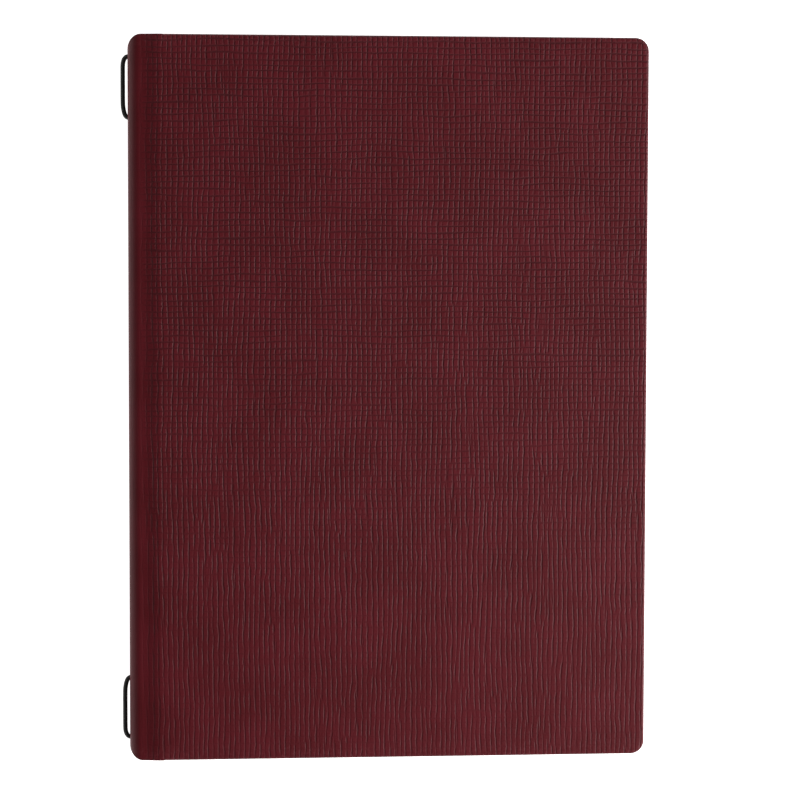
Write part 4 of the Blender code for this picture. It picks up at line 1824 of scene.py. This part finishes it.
@dataclass
class ElasticLoop:
    """The elastic and the sleeve on its ends, held by the spine along their whole length."""

    case: Case
    finishes: Finishes
    radius: float = 1.0 * MM
    stand_out: float = 3.1 * MM
    rear_g: float = 4.5 * MM
    front_g: float = 9.4 * MM
    end_gap: float = 0.6 * MM
    sides: int = 14
    bend_steps: int = 5
    sleeve_half: float = 4.5 * MM
    sleeve_radius: float = 1.5 * MM
    sleeve_bore: float = 1.25 * MM
    sleeve_lip: float = 0.12 * MM
    sleeve_sides: int = 28
    sleeve_steps: int = 26
    dents: Flat = (-2.0 * MM, 2.0 * MM)
    dent_width: float = 0.7 * MM
    dent_depth: float = 0.16 * MM

    def route(self) -> list[Flat]:
        """The centre line as (g, y): behind the folds, out round the spine at head and tail, and
        down the innermost fold.

        Returns:
            The points, from one end to the other.
        """
        out = self.radius - self.stand_out
        rear, front = self.rear_g, self.front_g
        hole, tip = self.case.inner_hole, self.case.outer_hole
        head = [
            (rear, self.end_gap / 2),
            (rear, hole / 2),
            (rear, hole - 4.5 * MM),
            (rear - 0.7 * MM, hole - 1.3 * MM),
            (rear - 2.2 * MM, hole - 0.1 * MM),
            (0.4 * MM, hole + 0.1 * MM),
            (out / 2, hole + 1.2 * MM),
            (out * 0.9, hole + 4.2 * MM),
            (out, hole + 8.5 * MM),
            (out, tip - 6.0 * MM),
            (out * 0.9, tip - 2.5 * MM),
            (out / 2, tip - 0.7 * MM),
            (0.4 * MM, tip),
            (front - 4.5 * MM, tip),
            (front - 1.0 * MM, tip - 0.9 * MM),
            (front, tip - 3.5 * MM),
            (front, tip - 10.0 * MM),
            (front, tip / 2),
        ]
        return head + [(front, 0.0)] + [(g, -y) for g, y in head[::-1]]

    def centre_line(self) -> list[Flat]:
        """The route read as a smooth curve through its points.

        Returns:
            The curve's points.
        """
        points = self.route()
        padded = [points[0], *points, points[-1]]
        made: list[Flat] = []
        for a, b, c, d in zip(padded, padded[1:], padded[2:], padded[3:]):
            steps = 1 if abs(c[0] - b[0]) < 1e-9 else self.bend_steps
            for i in range(steps):
                t = i / steps
                made.append(tuple(
                    0.5 * (2 * q + (r - p) * t + (2 * p - 5 * q + 4 * r - s) * t**2
                           + (3 * q - p - 3 * r + s) * t**3)
                    for p, q, r, s in zip(a, b, c, d)))
        return [*made, points[-1]]

    def tree(self) -> Tree:
        """Geometry Nodes that sweep a round section along a path.

        Returns:
            The tree, with inputs Radius, Sides and Material.
        """
        tree = bpy.data.node_groups.new("swept_cord", "GeometryNodeTree")
        tree.interface.new_socket("Geometry", in_out="INPUT", socket_type="NodeSocketGeometry")
        for label, kind, value in (("Radius", "NodeSocketFloat", self.radius),
                                   ("Sides", "NodeSocketInt", self.sides),
                                   ("Material", "NodeSocketMaterial", None)):
            socket = tree.interface.new_socket(label, in_out="INPUT", socket_type=kind)
            if value is not None:
                socket.default_value = value
        tree.interface.new_socket("Geometry", in_out="OUTPUT", socket_type="NodeSocketGeometry")
        given = add_node(tree, "NodeGroupInput").outputs
        path = add_node(tree, "GeometryNodeMeshToCurve", {0: given["Geometry"]}).outputs[0]
        section = add_node(tree, "GeometryNodeCurvePrimitiveCircle", {
            "Resolution": given["Sides"], "Radius": given["Radius"]}).outputs[0]
        swept = add_node(tree, "GeometryNodeCurveToMesh", {
            "Curve": path, "Profile Curve": section, "Fill Caps": True}).outputs[0]
        real = add_node(tree, "GeometryNodeRealizeInstances", {0: swept}).outputs[0]
        dressed = add_node(tree, "GeometryNodeSetMaterial", {
            "Geometry": real, "Material": given["Material"]}).outputs[0]
        add_node(tree, "NodeGroupOutput", {0: dressed})
        return tree

    def build_cord(self) -> Piece:
        """The elastic as a swept mesh, with a UV map once round it and in millimetres along.

        Returns:
            The elastic, not yet tied to a body.
        """
        points = self.centre_line()
        places = [self.case.place(g, y, self.case.middle) for g, y in points]
        mesh = bpy.data.meshes.new("elastic_path")
        mesh.from_pydata(places, [(i, i + 1) for i in range(len(places) - 1)], [])
        path = show("elastic_path", mesh)
        set_inputs(path, self.tree(), {
            "Radius": self.radius, "Sides": self.sides, "Material": self.finishes.elastic})
        cord = plain_copy(path, "elastic_binding")
        runs = [0.0]
        for before, after in zip(places, places[1:]):
            runs.append(runs[-1] + math.dist(before, after))
        layer = cord.data.uv_layers.new(name="UVMap")
        for face in cord.data.polygons:
            places_on = [divmod(cord.data.vertices[v].index, self.sides) for v in face.vertices]
            wraps = max(j for _, j in places_on) - min(j for _, j in places_on) > 1
            for loop, (ring, j) in zip(face.loop_indices, places_on):
                turn = (self.sides if wraps and j == 0 and len(places_on) == 4 else j) / self.sides
                layer.data[loop].uv = (turn, runs[min(ring, len(runs) - 1)] * 1000)
        cord.data.shade_smooth()
        sharpen(cord, 50)
        return cord

    def build_sleeve(self) -> Piece:
        """The sleeve: rolled ends, and two dents where the tool pressed it.

        Returns:
            The sleeve, not yet tied to a body.
        """
        half, lip = self.sleeve_half, self.sleeve_lip
        outer, bore = self.sleeve_radius, self.sleeve_bore
        section = [(bore, -half + lip), ((bore + outer) / 2, -half), (outer, -half + lip)]
        section += [(outer, -half + lip + (2 * half - 2 * lip) * i / self.sleeve_steps)
                    for i in range(1, self.sleeve_steps)]
        section += [(outer, half - lip), ((bore + outer) / 2, half), (bore, half - lip)]
        bm = bmesh.new()
        rings = []
        for i in range(self.sleeve_sides):
            turn = math.tau * i / self.sleeve_sides
            facing = abs(math.cos(turn)) ** 4
            ring = []
            for r, y in section:
                if r >= outer:
                    press = sum(math.exp(-(((y - at) / self.dent_width) ** 2)) for at in self.dents)
                    r -= self.dent_depth * press * facing
                ring.append(bm.verts.new((self.case.spine_x + self.rear_g + r * math.cos(turn), y,
                                          self.case.middle + r * math.sin(turn))))
            rings.append(ring)
        for first, second in zip(rings, rings[1:] + rings[:1]):
            quads(bm, first, second, closed=True)
        sleeve = mesh_object("crimped_sleeve", bm, self.finishes.steel)
        sharpen(sleeve, 45)
        return sleeve

    def dress(self) -> list[Piece]:
        """Builds both pieces and ties them to the spine.

        Returns:
            The elastic and the sleeve.
        """
        cord, sleeve = self.build_cord(), self.build_sleeve()
        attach(cord, "spine")
        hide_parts("elastic_cord")
        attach(sleeve, "spine")
        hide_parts("cord_crimp")
        return [cord, sleeve]


# ---------------------------------------------------------------- the studio


@dataclass
class Studio:
    """A pale floor, soft light that leaves the zenith dark, and the camera."""

    floor_side: float = 12.0
    floor_gap: float = 0.3 * MM
    floor_colour: str = "#f2f2f1"
    camera_at: Point = (-0.0951, 0.0726, 1.190)
    camera_turn: Point = (-3.55, -4.92, 0.13)
    lens: float = 120.0
    lamp_at: Point = (1.1, -0.25, 0.65)
    lamp_size: float = 0.9
    lamp_power: float = 30.0
    wall_glow: float = 1.25
    ceiling_glow: float = 0.07

    def floor(self) -> None:
        """A wide, pale, gently glowing floor, like a light table."""
        bm = bmesh.new()
        side = self.floor_side / 2
        near, far = [[bm.verts.new((x, y, -self.floor_gap)) for x in (-side, side)]
                     for y in (-side, side)]
        quads(bm, near, far)
        material = bpy.data.materials.new("matt_white_table")
        material.use_nodes = True
        shader = material.node_tree.nodes["Principled BSDF"]
        shader.inputs["Base Color"].default_value = linear(self.floor_colour)
        shader.inputs["Roughness"].default_value = 0.9
        shader.inputs["Specular IOR Level"].default_value = 0.1
        shader.inputs["Emission Color"].default_value = (1.0, 1.0, 1.0, 1.0)
        shader.inputs["Emission Strength"].default_value = 1.0
        mesh_object("studio_floor", bm, material, turn_faces=False)

    def sky(self) -> None:
        """White walls and a dark ceiling."""
        world = bpy.data.worlds.new("studio")
        bpy.context.scene.world = world
        world.use_nodes = True
        tree = world.node_tree
        tree.nodes.clear()
        way = add_node(tree, "ShaderNodeTexCoord").outputs["Generated"]
        height = add_node(tree, "ShaderNodeSeparateXYZ", {0: way}).outputs[2]
        level = add_node(tree, "ShaderNodeMapRange", {
            "Value": height,
            "From Min": 0.2,
            "From Max": 0.65,
            "To Min": self.wall_glow,
            "To Max": self.ceiling_glow,
        }, interpolation_type="SMOOTHSTEP")
        back = add_node(tree, "ShaderNodeBackground", {
            "Color": (1.0, 1.0, 1.0, 1.0), "Strength": level})
        add_node(tree, "ShaderNodeOutputWorld", {0: back.outputs[0]})

    def lamp(self) -> None:
        """A soft square light beyond the fore-edge, aimed at the album."""
        data = bpy.data.lights.new("fore_edge_light", "AREA")
        data.shape = "SQUARE"
        data.size = self.lamp_size
        data.energy = self.lamp_power
        made = bpy.data.objects.new("fore_edge_light", data)
        made.location = self.lamp_at
        made.rotation_euler = (-Vector(self.lamp_at)).to_track_quat("-Z", "Y").to_euler()
        bpy.context.scene.collection.objects.link(made)

    def camera(self) -> None:
        """Looks straight down from above the spine's side of the album."""
        data = bpy.data.cameras.new("overhead")
        data.lens = self.lens
        data.sensor_width = 36.0
        data.clip_start = 0.01
        made = bpy.data.objects.new("overhead", data)
        made.location = self.camera_at
        made.rotation_euler = [math.radians(a) for a in self.camera_turn]
        bpy.context.scene.collection.objects.link(made)
        bpy.context.scene.camera = made

    def build(self) -> None:
        """Everything that isn't the album."""
        bpy.context.scene.view_settings.view_transform = "Standard"
        self.floor()
        self.sky()
        self.lamp()
        self.camera()


def report(pieces: Iterable[Piece]) -> None:
    """Logs each piece with its size in faces."""
    for piece in pieces:
        LOG.info("%s: %d faces", piece.name, len(piece.data.polygons))


def dress_cad_nodes(finishes: Finishes) -> list[Piece]:
    """Gives the CAD nodes that stay their finishes.

    Args:
        finishes: the album's materials.

    Returns:
        The nodes.
    """
    made = []
    for name, material, slot in (
        ("front_cover_board", finishes.greyboard, Slot.GREYBOARD),
        ("back_cover_board", finishes.greyboard, Slot.GREYBOARD),
        ("spine_strip", finishes.greyboard, Slot.GREYBOARD),
        ("spine_lining", finishes.lining, Slot.LINING),
    ):
        node = frame["nodes"][name]
        for holder in node.material_slots:
            holder.material = material
        made.append(node)
    return made


def main() -> None:
    """Builds the studio and the album, piece by piece."""
    logging.basicConfig(level=logging.INFO, format="%(message)s")
    Studio().build()
    finishes = Finishes.build()
    low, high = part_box("front_cover_wrap")
    spine_low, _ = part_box("spine_wrap")
    case = Case(spine_x=spine_low.x, width=high.x - spine_low.x, height=high.y - low.y,
                thickness=high.z)
    report(dress_cad_nodes(finishes))
    for half in Half:
        report([CoverSkin(case, half, finishes.leatherette).dress()])
        report([Endpaper(case, half, finishes.lining).dress()])
    plan = LeafPlan()
    tree = pocket_tree(plan)
    cells = {side: PocketCell(plan, side).build() for side in (1, -1)}
    hinges = {joint["name"]: joint["pos_m"] for joint in frame["joints"]}
    for k in range(1, plan.leaves + 1):
        hinge = tuple(hinges[f"leaf_{k}_turn"])
        report(PocketLeaf(case, plan, finishes, tree, cells, k, hinge).dress())
    for cell in cells.values():
        bpy.data.objects.remove(cell)
    report(ElasticLoop(case, finishes).dress())


if __name__ == "__main__":
    main()
